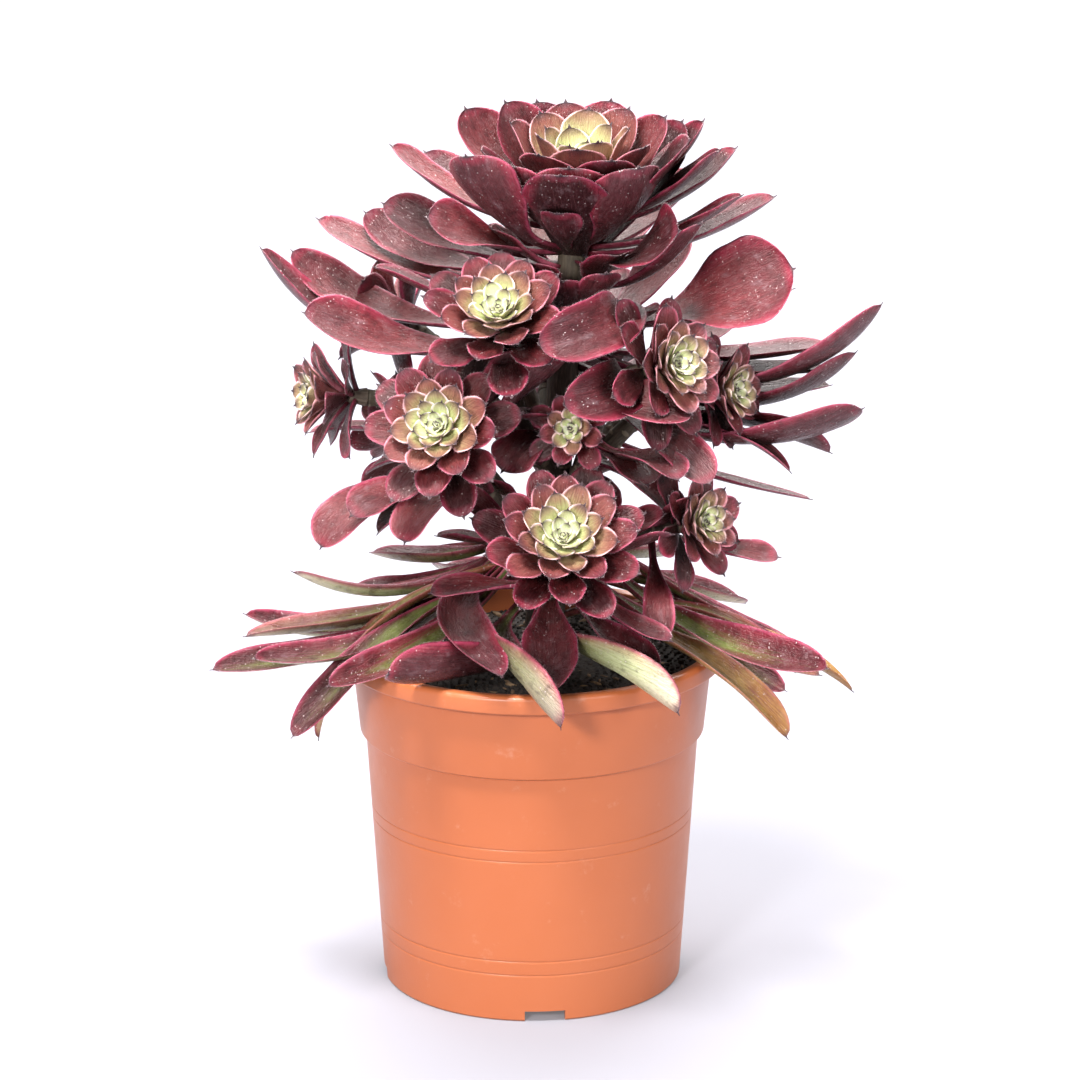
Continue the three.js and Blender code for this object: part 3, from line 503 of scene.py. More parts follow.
def add_long_leaf(growth, root, tip, rise, end, width, twist, swing, fold, seed, age, olive, dry=0.0):
    run = math.hypot(tip[0] - root[0], tip[1] - root[1])
    drop = tip[2] - root[2]
    azimuth = math.atan2(tip[0] - root[0], root[1] - tip[1])
    pull = PULL * math.hypot(run, drop)
    rise, end = math.radians(rise), math.radians(end)
    curve = (
        (0, 0),
        (pull * math.cos(rise), pull * math.sin(rise)),
        (run - pull * math.cos(end), drop - pull * math.sin(end)),
        (run, drop),
    )

    def bearing(t):
        return azimuth + math.radians(swing) * (1 - np.minimum(t, 1))

    def points_at(t):
        beyond = np.maximum(t - 1, 0)[:, None] * np.array([math.cos(end), math.sin(end)]) * length
        p = bezier(np.minimum(t, 1), curve) + beyond
        a = bearing(t)
        return root + np.stack([np.sin(a) * p[:, 0], -np.cos(a) * p[:, 0], p[:, 1]], 1)

    length = 1.0  # until it is measured; the samples don't reach beyond the curve
    samples = points_at(np.linspace(0, 1, CURVE_SAMPLES))
    length = np.linalg.norm(np.diff(samples, axis=0), axis=1).sum()
    widest = width / 2
    t, half = cusped(long_leaf_width(LONG_ROWS) * widest, widest, LONG_ROWS, length)
    along = unit(points_at(t + TANGENT_STEP) - points_at(np.maximum(t - TANGENT_STEP, 0)))
    a = bearing(t)
    side = np.cross(UP, along) + 0.05 * np.stack([np.cos(a), np.sin(a), np.zeros(len(a))], 1)
    side = unit(side - along * (side * along).sum(1, keepdims=True))
    normal = np.cross(along, side)
    turn = np.radians(twist * smooth(t, 0.2, 0.95))[:, None]
    leaning = side * np.cos(turn) + normal * np.sin(turn)
    facing = normal * np.cos(turn) - side * np.sin(turn)
    folds = fold * (1.25 - 0.35 * np.minimum(t, 1))
    add_blade(
        growth, t, points_at(t), leaning, facing, half, folds, LONG_THICKNESS, length,
        seed, age, (olive, dry, 0.0), LONG_WAVE, True,
    )


def trunk_leaf(azimuth, foot, reach, tip_height, rise, end, width, twist=0, swing=0):
    centre = trunk_at(foot)
    tip = centre + heading(azimuth, 0) * reach
    tip[2] = tip_height
    root = centre + heading(azimuth + swing, 0) * FOOT_OFFSET
    return root, tip, rise, end, width, twist, swing


def branch_leaf(name, share, azimuth, reach, lift, rise, end, width, twist=0, swing=0):
    root = bezier([share], branch_curve(name))[0]
    tip = root + heading(azimuth, 0) * reach
    tip[2] += lift
    return root, tip, rise, end, width, twist, swing


def sector_rows(count, azimuth, sector, low, high, reach, drop, rise, end, width):
    rows = []
    for i in range(count):
        share = (i * GOLDEN_ANGLE) / 360
        foot = low + ((high - low) * (i + 0.5)) / count
        far = reach * (1 - (0.3 * (foot - low)) / (high - low) + 0.08 * noise(i, 4))
        place = azimuth + sector * (share - math.floor(share))
        tip_height = foot + drop + 8 * noise(i, 5)
        slopes = (rise + 5 * noise(i, 6), end + 8 * noise(i, 7))
        broad = width * (1 + 0.1 * noise(i, 8))
        rows.append((place, foot, far, tip_height, *slopes, broad, 12 * noise(i, 9)))
    return rows


# ---- stems ----


def branch_curve(name):
    _, axis, _, _ = head_frame(name)
    start = trunk_at(HEADS[name].fork)
    end = head_base(name) - axis * GAP
    span = np.linalg.norm(end - start)
    away = unit(np.array([end[0] - start[0], end[1] - start[1], 0]))
    leave = unit(away * BRANCH_LEAVE[0] + UP * BRANCH_LEAVE[1])
    return start, start + leave * 0.42 * span, end - axis * 0.36 * span, end


STEM_SIDES = 26
TRUNK_ROWS, BRANCH_ROWS, CORE_ROWS = 150, 90, 24
SCAR_SPACING, SCAR_WIDTH, SCAR_HEIGHT = 2.6, 3.2, 1.5  # along the stem, and half sizes of a scar
SCAR_RISE, SCAR_GROOVE = 0.55, 0.35  # height of a scar, and depth of the line round it
TRUNK_NECK = ((374, 8), (432, 7))  # heights and radii of the trunk inside the main head
CORE_TIP = 3  # radius of the main head's stem at its end


def add_tube(growth, points, radii, seed, scars):
    """A round stem, with the low scars of fallen leaves set by the golden angle."""
    along = unit(np.gradient(points, axis=0))
    side = np.cross([0.31, 0.05, 0.95], along[0])
    sides = []
    for direction in along:
        side = unit(side - direction * side.dot(direction))
        sides.append(side)
    sides = np.array(sides)
    other = np.cross(along, sides)
    run = running(np.linalg.norm(np.diff(points, axis=0), axis=1))
    turn = -np.linspace(0, 2 * math.pi, STEM_SIDES, endpoint=False)
    relief = np.zeros((len(points), STEM_SIDES))
    for n in range(int(run[-1] / SCAR_SPACING) if scars else 0):
        place, angle = (n + 0.5) * SCAR_SPACING, -math.radians(n * GOLDEN_ANGLE + 40 * seed)
        radius = np.interp(place, run, radii)
        around = (turn[None, :] - angle + math.pi) % (2 * math.pi) - math.pi
        away = np.hypot(around * radius / SCAR_WIDTH, (run[:, None] - place) / SCAR_HEIGHT)
        relief += SCAR_RISE * np.exp(-(away**4)) - SCAR_GROOVE * np.exp(-(((away - 1.25) / 0.25) ** 2))
    grown = radii[:, None] * (1 + 0.03 * np.sin(3 * turn[None, :] + run[:, None] / 9 + seed)) + relief
    ring = sides[:, None] * np.cos(turn)[None, :, None] + other[:, None] * np.sin(turn)[None, :, None]
    surface = points[:, None] + ring * grown[..., None]
    shape, radius = relief.shape, radii[:, None]
    x, z = np.cos(turn) * radius, np.sin(turn) * radius + 31.0 * seed
    growth.add(
        surface.reshape(-1, 3), loft_faces(*shape),
        leaf_place=vertex_field(shape, np.cos(turn), (run / run[-1])[:, None], relief),
        leaf_grain=vertex_field(shape, x, run[:, None], z),
    )


def add_core(growth, name, seed):
    """A head's own short stem, which its leaves grow from."""
    centre, axis, _, _ = head_frame(name)
    longest = HEADS[name].longest
    if name == "top":
        stops = [trunk_at(TRUNK_TOP + GAP), *(trunk_at(height) for height, _ in TRUNK_NECK), centre + axis]
        radii = [TRUNK_RADII[1], *(radius for _, radius in TRUNK_NECK), CORE_TIP]
    else:
        stops = [head_base(name), centre - axis * (ROOT_ROW - 0.02) * longest, centre + axis]
        radii = [BRANCH_RADII[1] + 0.6, 0.07 * longest + 1.4, 0.02 * longest + 1.2]
    knots = np.linspace(0, 1, len(stops))
    at = np.linspace(0, 1, CORE_ROWS)
    add_tube(growth, sample(at, knots, np.array(stops)), np.interp(at, knots, radii), seed, False)


# ---- materials ----


class Shader:
    """Builds one node material."""

    def __init__(self, name):
        self.material = bpy.data.materials.new(name)
        self.material.use_nodes = True
        self.tree = self.material.node_tree
        self.surface = self.tree.nodes["Principled BSDF"]

    def fill(self, node, inputs):
        """Links or sets inputs: i0, i1 and so on by number, the others by name, with _ for a space."""
        for name, value in inputs.items():
            socket = node.inputs[int(name[1:]) if name[0] == "i" else name.replace("_", " ")]
            if isinstance(value, bpy.types.NodeSocket):
                self.tree.links.new(value, socket)
            else:
                socket.default_value = value

    def set(self, **inputs):
        self.fill(self.surface, inputs)

    def node(self, kind, output=0, settings=(), **inputs):
        node = self.tree.nodes.new("ShaderNode" + kind)
        for key, value in dict(settings).items():
            setattr(node, key, value)
        self.fill(node, inputs)
        return node.outputs[output]

    def math(self, operation, a, b=0.0, c=0.0):
        return self.node("Math", 0, {"operation": operation}, i0=a, i1=b, i2=c)

    def plus(self, a, b):
        return self.math("ADD", a, b)

    def minus(self, a, b):
        return self.math("SUBTRACT", a, b)

    def times(self, a, b):
        return self.math("MULTIPLY", a, b)

    def scaled(self, a, factor, added):
        return self.math("MULTIPLY_ADD", a, factor, added)

    def clamp(self, a):
        return self.node("Clamp", i0=a)

    def step(self, value, low, high):
        """0 below low, 1 above high and smooth between them."""
        return self.node("MapRange", 0, {"interpolation_type": "SMOOTHSTEP"}, i0=value, i1=low, i2=high)

    def fade(self, value, low, high):
        """1 below low, 0 above high and smooth between them."""
        return self.minus(1.0, self.step(value, low, high))

    def mix(self, share, a, b, blend="MIX"):
        return self.node("Mix", 2, {"data_type": "RGBA", "blend_type": blend}, i0=share, i6=a, i7=b)

    def ramp(self, value, stops):
        colour = self.node("ValToRGB", i0=value)
        elements = colour.node.color_ramp.elements
        while len(elements) < len(stops):
            elements.new(0.5)
        for element, (place, code) in zip(elements, stops):
            element.position = place
            element.color = linear(code)
        return colour

    def split(self, name):
        """The three parts of a vertex field."""
        vector = self.node("Attribute", "Vector", {"attribute_name": name})
        return self.node("SeparateXYZ", slice(3), i0=vector)

    def join(self, x, y, z):
        return self.node("CombineXYZ", i0=x, i1=y, i2=z)

    def noise(self, place, scale, detail=2.0, roughness=0.5):
        return self.node("TexNoise", Vector=place, Scale=scale, Detail=detail, Roughness=roughness)

    def bump(self, height, strength, distance):
        return self.node("Bump", Height=height, Strength=strength, Distance=distance)

    def place(self):
        """The object's own coordinates, in metres."""
        return self.node("TexCoord", output=3)


# Colours as hex sRGB. Those of a leaf go from young to old: the foot, middle and end of its upper face, its
# margin and its under face. The pairs and threes below them are spread by noise.
# The foot's last stops, on the oldest leaves, are darker than the middle: painted shade at the base of the
# blades.
FOOT_COLOURS_AND_SHADE = (
    (0.0, "f6f7e8"), (0.2, "e6edc4"), (0.4, "d3d9a4"), (0.55, "b3966e"), (0.75, "5c2b29"), (1.0, "1f0c0b"),
)
MIDDLE_COLOURS = (
    (0.0, "eef3d4"), (0.13, "cddb96"), (0.27, "a9b074"), (0.4, "a07c60"), (0.54, "8f4e49"),
    (0.7, "7c3034"), (0.85, "4f1b20"), (1.0, "311213"),
)
END_COLOURS = (
    (0.0, "bcc78e"), (0.15, "9f906a"), (0.3, "8a634e"), (0.45, "7f4841"), (0.6, "703236"),
    (0.8, "4c1f25"), (1.0, "331317"),
)
MARGIN_COLOURS = (
    (0.0, "fdfbe8"), (0.14, "faecdc"), (0.28, "f7d0ca"), (0.46, "f0a5ae"), (0.64, "d26a84"),
    (0.82, "9c3653"), (1.0, "7f2846"),
)
UNDER_COLOURS = ((0.0, "e2e6b6"), (0.25, "bd8f7a"), (0.5, "7c383d"), (0.75, "481a1f"), (1.0, "2b1013"))
OLIVE_COLOURS = ((0.3, "525a2a"), (0.7, "788445"))
BLOOM_AND_GLARE = ((0.3, "a58a92"), (0.7, "bba3a8"))
PALE_GREENS = ((0.35, "a9b07a"), (0.65, "c8cda0"))
PALE_ENDS = ((0.3, "dfc0b6"), (0.7, "ead9cc"))
CRIMSON = ((0.3, "8a1f38"), (0.7, "a22c45"))
DRY_COLOURS = ((0.25, "8a5a34"), (0.5, "b98642"), (0.75, "cfa95e"))
SMOKE = ((0.3, "2c2027"), (0.7, "4a3c42"))
SPECKS = ((0.3, "cdbdbb"), (0.7, "e2d8d5"))
DARK_STREAK, PALE_STREAK = linear("241014"), linear("d4979a")
DARK_MOTTLE, PALE_MOTTLE = linear("1d0c12"), linear("d79aa2")
STAIN = linear("1f0b0e")
SHADE = linear("7a5048")
SHEEN_TINT = (1.0, 0.77, 0.74, 1)
HAIR_COLOURS = ((0.3, "c98a9a"), (0.7, "ecd9d6"))
BARK = ((0.25, "352a22"), (0.5, "54473a"), (0.75, "75695a"))
YOUNG_BARK = ((0.3, "2f2820"), (0.7, "4d4634"))
SCARS = ((0.3, "b3a48c"), (0.7, "8d7d69"))
PLASTIC = ((0.3, "b36036"), (0.7, "bb683f"))
DUST = ((0.3, "d9b7a2"), (0.7, "e2c8b8"))
SOIL_COLOURS = ((0.3, "15100d"), (0.55, "2b211b"), (0.8, "4d3e32"))
CHIPS = ((0.3, "5a4431"), (0.7, "8a6f52"))
FLOOR_COLOURS = ((0.3, "86858d"), (0.7, "8a8991"))


def leaf_material():
    s = Shader("aeonium_leaf")
    u, t, edge = s.split("leaf_place")
    age, tone, face = s.split("leaf_kind")
    x, y, z = s.split("leaf_grain")
    green, dry, dark = s.split("leaf_tint")
    # Streaks along the blade, wide clouds and a mottle; then how long the blade is and how far its tip is.
    streaks = s.noise(s.join(s.times(x, 1.5), s.times(y, 0.05), z), 1.0, 4.0, 0.62)
    clouds = s.noise(s.join(s.times(x, 0.1), s.times(y, 0.07), z), 1.0, 3.0, 0.55)
    mottle = s.noise(s.join(x, s.times(y, 0.4), z), 0.55, 4.0, 0.7)
    uneven = s.minus(streaks, 0.5)
    length = s.math("DIVIDE", y, s.math("MAXIMUM", t, 0.02))
    left = s.minus(length, y)
    # The upper face by ripeness, from the pale heart to the dark outer leaves.
    ripe = s.plus(s.math("POWER", age, 1.5), s.times(tone, 0.06))
    ripe = s.plus(ripe, s.times(s.minus(clouds, 0.5), 0.25))
    ripe = s.clamp(s.plus(ripe, dark))
    place = s.plus(t, s.times(uneven, 0.3))
    # The dark foot of the oldest leaves is painted shade.
    body = s.mix(s.step(place, 0.1, 0.6), s.ramp(ripe, FOOT_COLOURS_AND_SHADE), s.ramp(ripe, MIDDLE_COLOURS))
    body = s.mix(s.step(place, 0.6, 0.95), body, s.ramp(ripe, END_COLOURS))
    # Olive down the middle of the old leaves.
    olive = s.times(green, s.minus(1.25, s.step(t, 0.35, 1.05)))
    olive = s.times(olive, s.minus(1.15, s.math("ABSOLUTE", u)))
    olive = s.clamp(s.plus(olive, s.times(uneven, 0.9)))
    olive = s.times(s.step(olive, 0.25, 0.65), s.step(green, 0.0, 0.15))
    body = s.mix(olive, body, s.ramp(clouds, OLIVE_COLOURS))
    # Crimson glowing in from the margins, and the margin itself.
    glow = s.math("MAXIMUM", s.step(s.math("ABSOLUTE", u), 0.6, 1.0), s.step(left, 7.0, 1.0))
    glow = s.times(glow, s.step(ripe, 0.4, 0.8))
    glow = s.times(glow, s.step(t, 0.2, 0.8))
    glow = s.times(glow, s.scaled(green, -0.5, 1.0))
    crimson = s.ramp(clouds, CRIMSON)
    body = s.mix(s.times(glow, 0.75), body, crimson)
    band = s.fade(edge, 0.15, s.scaled(clouds, 1.5, 1.0))
    margin = s.ramp(ripe, MARGIN_COLOURS)
    top = s.mix(band, body, margin)
    # The under face, pale green on the leaves of the skirt.
    leafy = s.mix(s.step(place, 0.4, 0.8), s.ramp(clouds, OLIVE_COLOURS), s.ramp(streaks, PALE_GREENS))
    leafy = s.mix(s.times(s.step(place, 0.75, 1.0), 0.55), leafy, s.ramp(clouds, PALE_ENDS))
    pale = s.mix(s.step(place, 0.5, 0.95), s.ramp(ripe, UNDER_COLOURS), s.ramp(ripe, END_COLOURS))
    pale = s.mix(s.step(green, 0.3, 0.7), pale, leafy)
    pale = s.mix(s.times(glow, 0.7), pale, crimson)
    pale = s.mix(s.times(band, 0.8), pale, margin)
    colour = s.mix(s.math("LESS_THAN", face, 0.0), top, pale)
    # Dark and pale streaks and mottle, wide stains, and the grey waxy bloom, whose silvery patches are
    # partly a painted highlight.
    drawn = s.times(s.step(streaks, 0.52, 0.75), s.step(ripe, -0.1, 0.5))
    colour = s.mix(s.times(drawn, 0.4), colour, DARK_STREAK)
    colour = s.mix(s.times(s.step(streaks, 0.46, 0.25), 0.14), colour, PALE_STREAK)
    stain = s.times(s.step(mottle, 0.52, 0.75), s.step(ripe, 0.0, 0.5))
    colour = s.mix(s.times(stain, 0.3), colour, DARK_MOTTLE)
    colour = s.mix(s.times(s.step(mottle, 0.46, 0.25), 0.1), colour, PALE_MOTTLE)
    blotch = s.noise(s.join(s.times(x, 0.16), s.times(y, 0.11), z), 1.0, 4.0, 0.6)
    stain = s.times(s.step(blotch, 0.5, 0.3), s.step(ripe, 0.15, 0.6))
    colour = s.mix(s.times(stain, 0.5), colour, STAIN)
    # Grey waxy bloom and painted highlight: silvery patches of glare on the riper leaves.
    bloom_and_glare = s.times(s.step(blotch, 0.5, 0.72), s.step(mottle, 0.35, 0.6))
    bloom_and_glare = s.times(bloom_and_glare, s.step(ripe, 0.4, 0.7))
    colour = s.mix(s.times(bloom_and_glare, 0.22), colour, s.ramp(clouds, BLOOM_AND_GLARE))
    # Dried leaves, and the smoky tip with its dark point.
    colour = s.mix(s.times(dry, s.step(streaks, 0.2, 0.6)), colour, s.ramp(clouds, DRY_COLOURS))
    reach = s.math("MINIMUM", s.scaled(tone, 2.4, 4.4), s.times(length, 0.2))
    smoke = s.times(s.fade(left, 0.3, reach), s.scaled(mottle, 0.8, 0.25))
    point = s.fade(left, 0.35, 1.1)
    colour = s.mix(s.clamp(s.math("MAXIMUM", smoke, point)), colour, s.ramp(clouds, SMOKE))
    # Small pale specks, in groups, on the riper leaves.
    grain = s.join(x, y, z)
    cells = s.node("TexVoronoi", Vector=grain, Scale=0.4)
    groups = s.step(s.noise(grain, 0.12, 0.0), 0.42, 0.52)
    speck = s.times(s.math("LESS_THAN", cells, 0.13), groups)
    speck = s.times(speck, s.step(ripe, 0.3, 0.55))
    colour = s.mix(s.times(speck, 0.7), colour, s.ramp(clouds, SPECKS))
    # Painted shade: a warmer, deeper colour where ripe leaves stand close together, taken from an ambient
    # occlusion node.
    near = s.node("AmbientOcclusion", 1, {"samples": 4}, Distance=0.03)
    shade = s.times(s.fade(near, 0.1, 0.85), s.step(ripe, 0.3, 0.7))
    colour = s.mix(shade, colour, s.mix(1.0, colour, SHADE, "MULTIPLY"))
    height = s.plus(s.times(streaks, 0.7), mottle)
    s.set(Base_Color=colour, Roughness=s.scaled(mottle, 0.35, 0.12), Normal=s.bump(height, 0.8, 0.0011))
    s.set(Specular_IOR_Level=0.5, Specular_Tint=SHEEN_TINT)
    s.set(Sheen_Weight=0.03, Sheen_Roughness=0.35, Sheen_Tint=SHEEN_TINT)
    return s.material


def hair_material():
    s = Shader("leaf_fringe")
    s.set(Base_Color=s.ramp(s.noise(s.place(), 160.0, 1.0), HAIR_COLOURS), Roughness=0.5)
    return s.material


def stem_material():
    s = Shader("stem_bark")
    x, y, z = s.split("leaf_grain")
    _, share, relief = s.split("leaf_place")
    streaks = s.noise(s.join(x, s.times(y, 0.12), z), 0.9, 5.0, 0.65)
    clouds = s.noise(s.join(x, y, z), 0.09, 3.0)
    young = s.times(s.step(share, 0.35, 0.95), 0.8)
    colour = s.mix(young, s.ramp(streaks, BARK), s.ramp(streaks, YOUNG_BARK))
    colour = s.mix(s.times(s.step(relief, 0.1, 0.45), 0.5), colour, s.ramp(clouds, SCARS))
    s.set(Base_Color=colour, Roughness=s.scaled(clouds, 0.25, 0.55), Normal=s.bump(streaks, 0.7, 0.0008))
    return s.material


def pot_material():
    s = Shader("orange_plastic")
    wide = s.noise(s.place(), 9.0, 3.0)
    fine = s.noise(s.place(), 420.0, 3.0, 0.6)
    dust = s.noise(s.place(), 60.0, 5.0, 0.7)
    colour = s.mix(s.times(s.step(dust, 0.6, 0.78), 0.16), s.ramp(wide, PLASTIC), s.ramp(wide, DUST))
    s.set(Base_Color=colour, Roughness=s.scaled(dust, 0.22, 0.27), Normal=s.bump(fine, 0.12, 0.0004))
    s.set(Specular_IOR_Level=0.5)
    return s.material


def soil_material():
    s = Shader("potting_soil")
    chip, _, _ = s.split("leaf_kind")
    grit = s.noise(s.place(), 520.0, 5.0, 0.7)
    wide = s.noise(s.place(), 60.0, 3.0)
    colour = s.mix(s.step(chip, 0.4, 1.0), s.ramp(grit, SOIL_COLOURS), s.ramp(wide, CHIPS))
    s.set(Base_Color=colour, Roughness=s.scaled(grit, 0.2, 0.8), Normal=s.bump(grit, 0.8, 0.0012))
    return s.material


# ---- the plant ----


def make_plant(leaf, fringe, bark):
    seed = 100
    for name in HEADS:
        if name == "top":
            continue
        growth = Growth()
        add_head_leaves(growth, name, seed, -0.02)
        seed += 60
        growth.piece(f"rosette_{name}", (leaf, fringe), "leaf_rosette", f"side_head_{name}")
    crown = Growth()
    add_head_leaves(crown, "top", seed, 0.05)
    seed += 60
    for n, row in enumerate([*CROWN_LEAVES, *sector_rows(*FRONT_CROWN), *sector_rows(*BACK_CROWN)]):
        age, olive = 0.86 + 0.08 * noise(n, 15), 0.04 * (n % 3)
        add_long_leaf(crown, *trunk_leaf(*row), CROWN_FOLD, seed, age, olive)
        seed += 1
    crown.piece("crown_leaves", (leaf, fringe), "leaf_dark", "main_head")
    skirt = Growth()
    for n, row in enumerate([*SKIRT_LEAVES, *sector_rows(*BACK_SKIRT)]):
        age, olive = 0.85 + 0.08 * noise(n, 17), BURGUNDY.get(n, 0.85 + 0.25 * noise(n, 16))
        add_long_leaf(skirt, *trunk_leaf(*row), SKIRT_FOLD, seed, age, olive, YELLOWED.get(n, 0.0))
        seed += 1
    for row in sector_rows(*FRONT_FILL):
        add_long_leaf(skirt, *trunk_leaf(*row), CROWN_FOLD, seed, 0.86, 0.1)
        seed += 1
    for n, row in enumerate(BRANCH_LEAVES):
        add_long_leaf(skirt, *branch_leaf(*row), CROWN_FOLD, seed, 0.82, 0.12 + 0.12 * noise(n, 18))
        seed += 1
    skirt.piece("skirt_leaves", (leaf, fringe), "stem_and_old_leaves", "stem_with_skirt_leaves")
    stems = Growth()
    heights = np.linspace(TRUNK_FOOT[2], TRUNK_TOP, TRUNK_ROWS)
    radii = np.linspace(*TRUNK_RADII, TRUNK_ROWS)
    add_tube(stems, np.array([trunk_at(h) for h in heights]), radii, 1, True)
    for n, name in enumerate(HEADS):
        add_core(stems, name, 40 + n)
        if name != "top":
            at = np.linspace(0, 1, BRANCH_ROWS)
            radii = BRANCH_RADII[0] + (BRANCH_RADII[1] - BRANCH_RADII[0]) * at
            add_tube(stems, bezier(at, branch_curve(name)), radii, 2 + n, True)
    stems.piece("stems", (bark,), "stem_and_old_leaves", "stem_with_skirt_leaves")


# ---- pot ----

POT_SIDES = 192
FOOT_RADIUS = 82
WALL_OUT, WALL_UP = 9.2, 141  # how far the wall leans outwards, over what height from 1 mm up
GROOVES = (27.0, 35.1, 93.5, 100.2)
GROOVE_STEPS = ((-1.2, 0), (-0.35, 0), (0, 0.22), (0.35, 0), (1.2, 0))  # height from its middle, and depth
CUTS = 4  # notches in the foot, and drain holes
NOTCH = {"radius": FOOT_RADIUS, "width": 22, "depth": 14, "low": -2, "high": 6}
NOTCH_TURN, DRAIN_TURN = 5, 45
DRAIN = ((0, 0), (6, 0), (6, 8), (0, 8))
DRAIN_OUT, DRAIN_UP, DRAIN_SIDES = 66.5, 4, 24
SHARP_ANGLE = 38


def arc(radius, height, size, start, end, steps=5):
    """Points of an arc about a centre, from one angle to another, 0 outwards and 90 upwards."""
    angles = np.radians(np.linspace(start, end, steps))
    return [(radius + size * math.cos(a), height + size * math.sin(a)) for a in angles]


def pot_profile():
    body = [(FOOT_RADIUS, 1.0)]
    for height in GROOVES:
        for step, depth in GROOVE_STEPS:
            z = height + step
            body.append((FOOT_RADIUS + WALL_OUT * (z - 1) / WALL_UP - depth, z))
    return [
        (0, 0), (56, 0), (57, 6), (76, 6), (77, 0), (81, 0),
        *body,
        (91.0, 139.0), (91.3, 141.2), *arc(93.4, 143.2, 0.9, -90, 0, 4),
        (98.0, 179.2), *arc(98.9, 181.0, 1.0, 180, 90, 3),
        *arc(103.8, 183.2, 1.2, -90, 0), *arc(102.2, 189.2, 2.8, 0, 90, 7),
        (99.4, 191.9), *arc(98.6, 189.9, 1.8, 80, 180), (96.1, 182.0),
        (92.1, 145.0), (89.0, 142.0), (80.4, 10.0), (58, 10), (53, 4), (0, 4),
    ]


def lathe(profile, sides):
    points, faces = [], []
    for radius, height in profile:
        ring = 1 if radius == 0 else sides
        for k in range(ring):
            a = 2 * math.pi * k / sides
            points.append((radius * math.cos(a), radius * math.sin(a), height))
    start = 0
    for (r0, _), (r1, _) in zip(profile, profile[1:]):
        n0, n1 = (1 if r0 == 0 else sides), (1 if r1 == 0 else sides)
        after = start + n0
        for k in range(sides):
            j = (k + 1) % sides
            if n0 == 1:
                faces.append((start, after + j, after + k))
            elif n1 == 1:
                faces.append((start + k, start + j, after))
            else:
                faces.append((start + k, start + j, after + j, after + k))
        start = after
    return np.array(points, float), faces


def box_faces(turn, radius, width, depth, low, high):
    """A box across the foot ring, turned to an angle, as points and faces."""
    a = math.radians(turn)
    out, across = np.array([math.sin(a), -math.cos(a)]), np.array([math.cos(a), math.sin(a)])
    points = []
    for z in (low, high):
        for left_right, in_out in ((-1, -1), (-1, 1), (1, 1), (1, -1)):
            x, y = out * (radius + in_out * depth / 2) + across * left_right * width / 2
            points.append((x, y, z))
    faces = [(3, 2, 1, 0), (4, 5, 6, 7), (0, 1, 5, 4), (1, 2, 6, 5), (2, 3, 7, 6), (3, 0, 4, 7)]
    return np.array(points), faces


def make_pot(material):
    points, faces = lathe(pot_profile(), POT_SIDES)
    pot = raw_object("pot_moulding", points, faces)
    cutters = []
    for k in range(CUTS):
        turn = 360 / CUTS * k
        cutters.append(raw_object("notch", *box_faces(NOTCH_TURN + turn, **NOTCH)))
        hole, hole_faces = lathe(DRAIN, DRAIN_SIDES)
        middle = heading(DRAIN_TURN + turn, 0) * DRAIN_OUT + UP * DRAIN_UP
        cutters.append(raw_object("drain", hole + middle, hole_faces))
    for cutter in cutters:
        cut = pot.modifiers.new("cut", "BOOLEAN")
        cut.operation = "DIFFERENCE"
        cut.solver = "EXACT"
        cut.object = cutter
    bpy.context.view_layer.update()
    evaluated = pot.evaluated_get(bpy.context.evaluated_depsgraph_get())
    mesh = bpy.data.meshes.new_from_object(evaluated)
    pot.modifiers.clear()
    pot.data = mesh
    for cutter in cutters:
        bpy.data.objects.remove(cutter)
    mesh.materials.clear()
    mesh.materials.append(material)
    mesh.polygons.foreach_set("material_index", [0] * len(mesh.polygons))
    mesh.shade_smooth()
    mesh.set_sharp_from_angle(angle=math.radians(SHARP_ANGLE))
    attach(pot, "root")
    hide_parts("pot")


# ---- soil ----


SOIL_RINGS, SOIL_SECTORS = 46, 150
SOIL_RIM, SOIL_TOP = 95.4, 179.0
SOIL_UNDER = (0.985, 168)  # share of the rim, and height, of the ring under the surface's edge
RIM_SINK = 0.8  # how far the surface dips at the wall
MOUND, MOUND_SPREAD = 1.4, 900  # height of the rise round the trunk, and square of its radius
CRUMBS, CRUMB_RINGS, CRUMB_SIDES = 1500, 4, 7
CRUMB_SIZES, CRUMB_LIFT, CRUMB_INSET = (0.8, 1.5), 0.2, 3
CHIP_LIMIT = 0.72  # noise above this makes a chip of bark
CHIP_SHAPE, CRUMB_SHAPE = np.array([2.4, 0.7, 0.5]), np.array([1.0, 0.85, 0.7])


def soil_ring(radius):
    """Places round a ring, clockwise from above."""
    turns = [-2 * math.pi * k / SOIL_SECTORS for k in range(SOIL_SECTORS)]
    return [(radius * math.cos(a), radius * math.sin(a)) for a in turns]


def soil_height(x, y):
    lump = perlin.fractal(Vector((x, y, 3.0)) / 9, 0.7, 2.1, 5)
    wide = perlin.noise(Vector((x, y, 40.0)) / 34)
    return SOIL_TOP + 1.1 * lump + 1.2 * wide


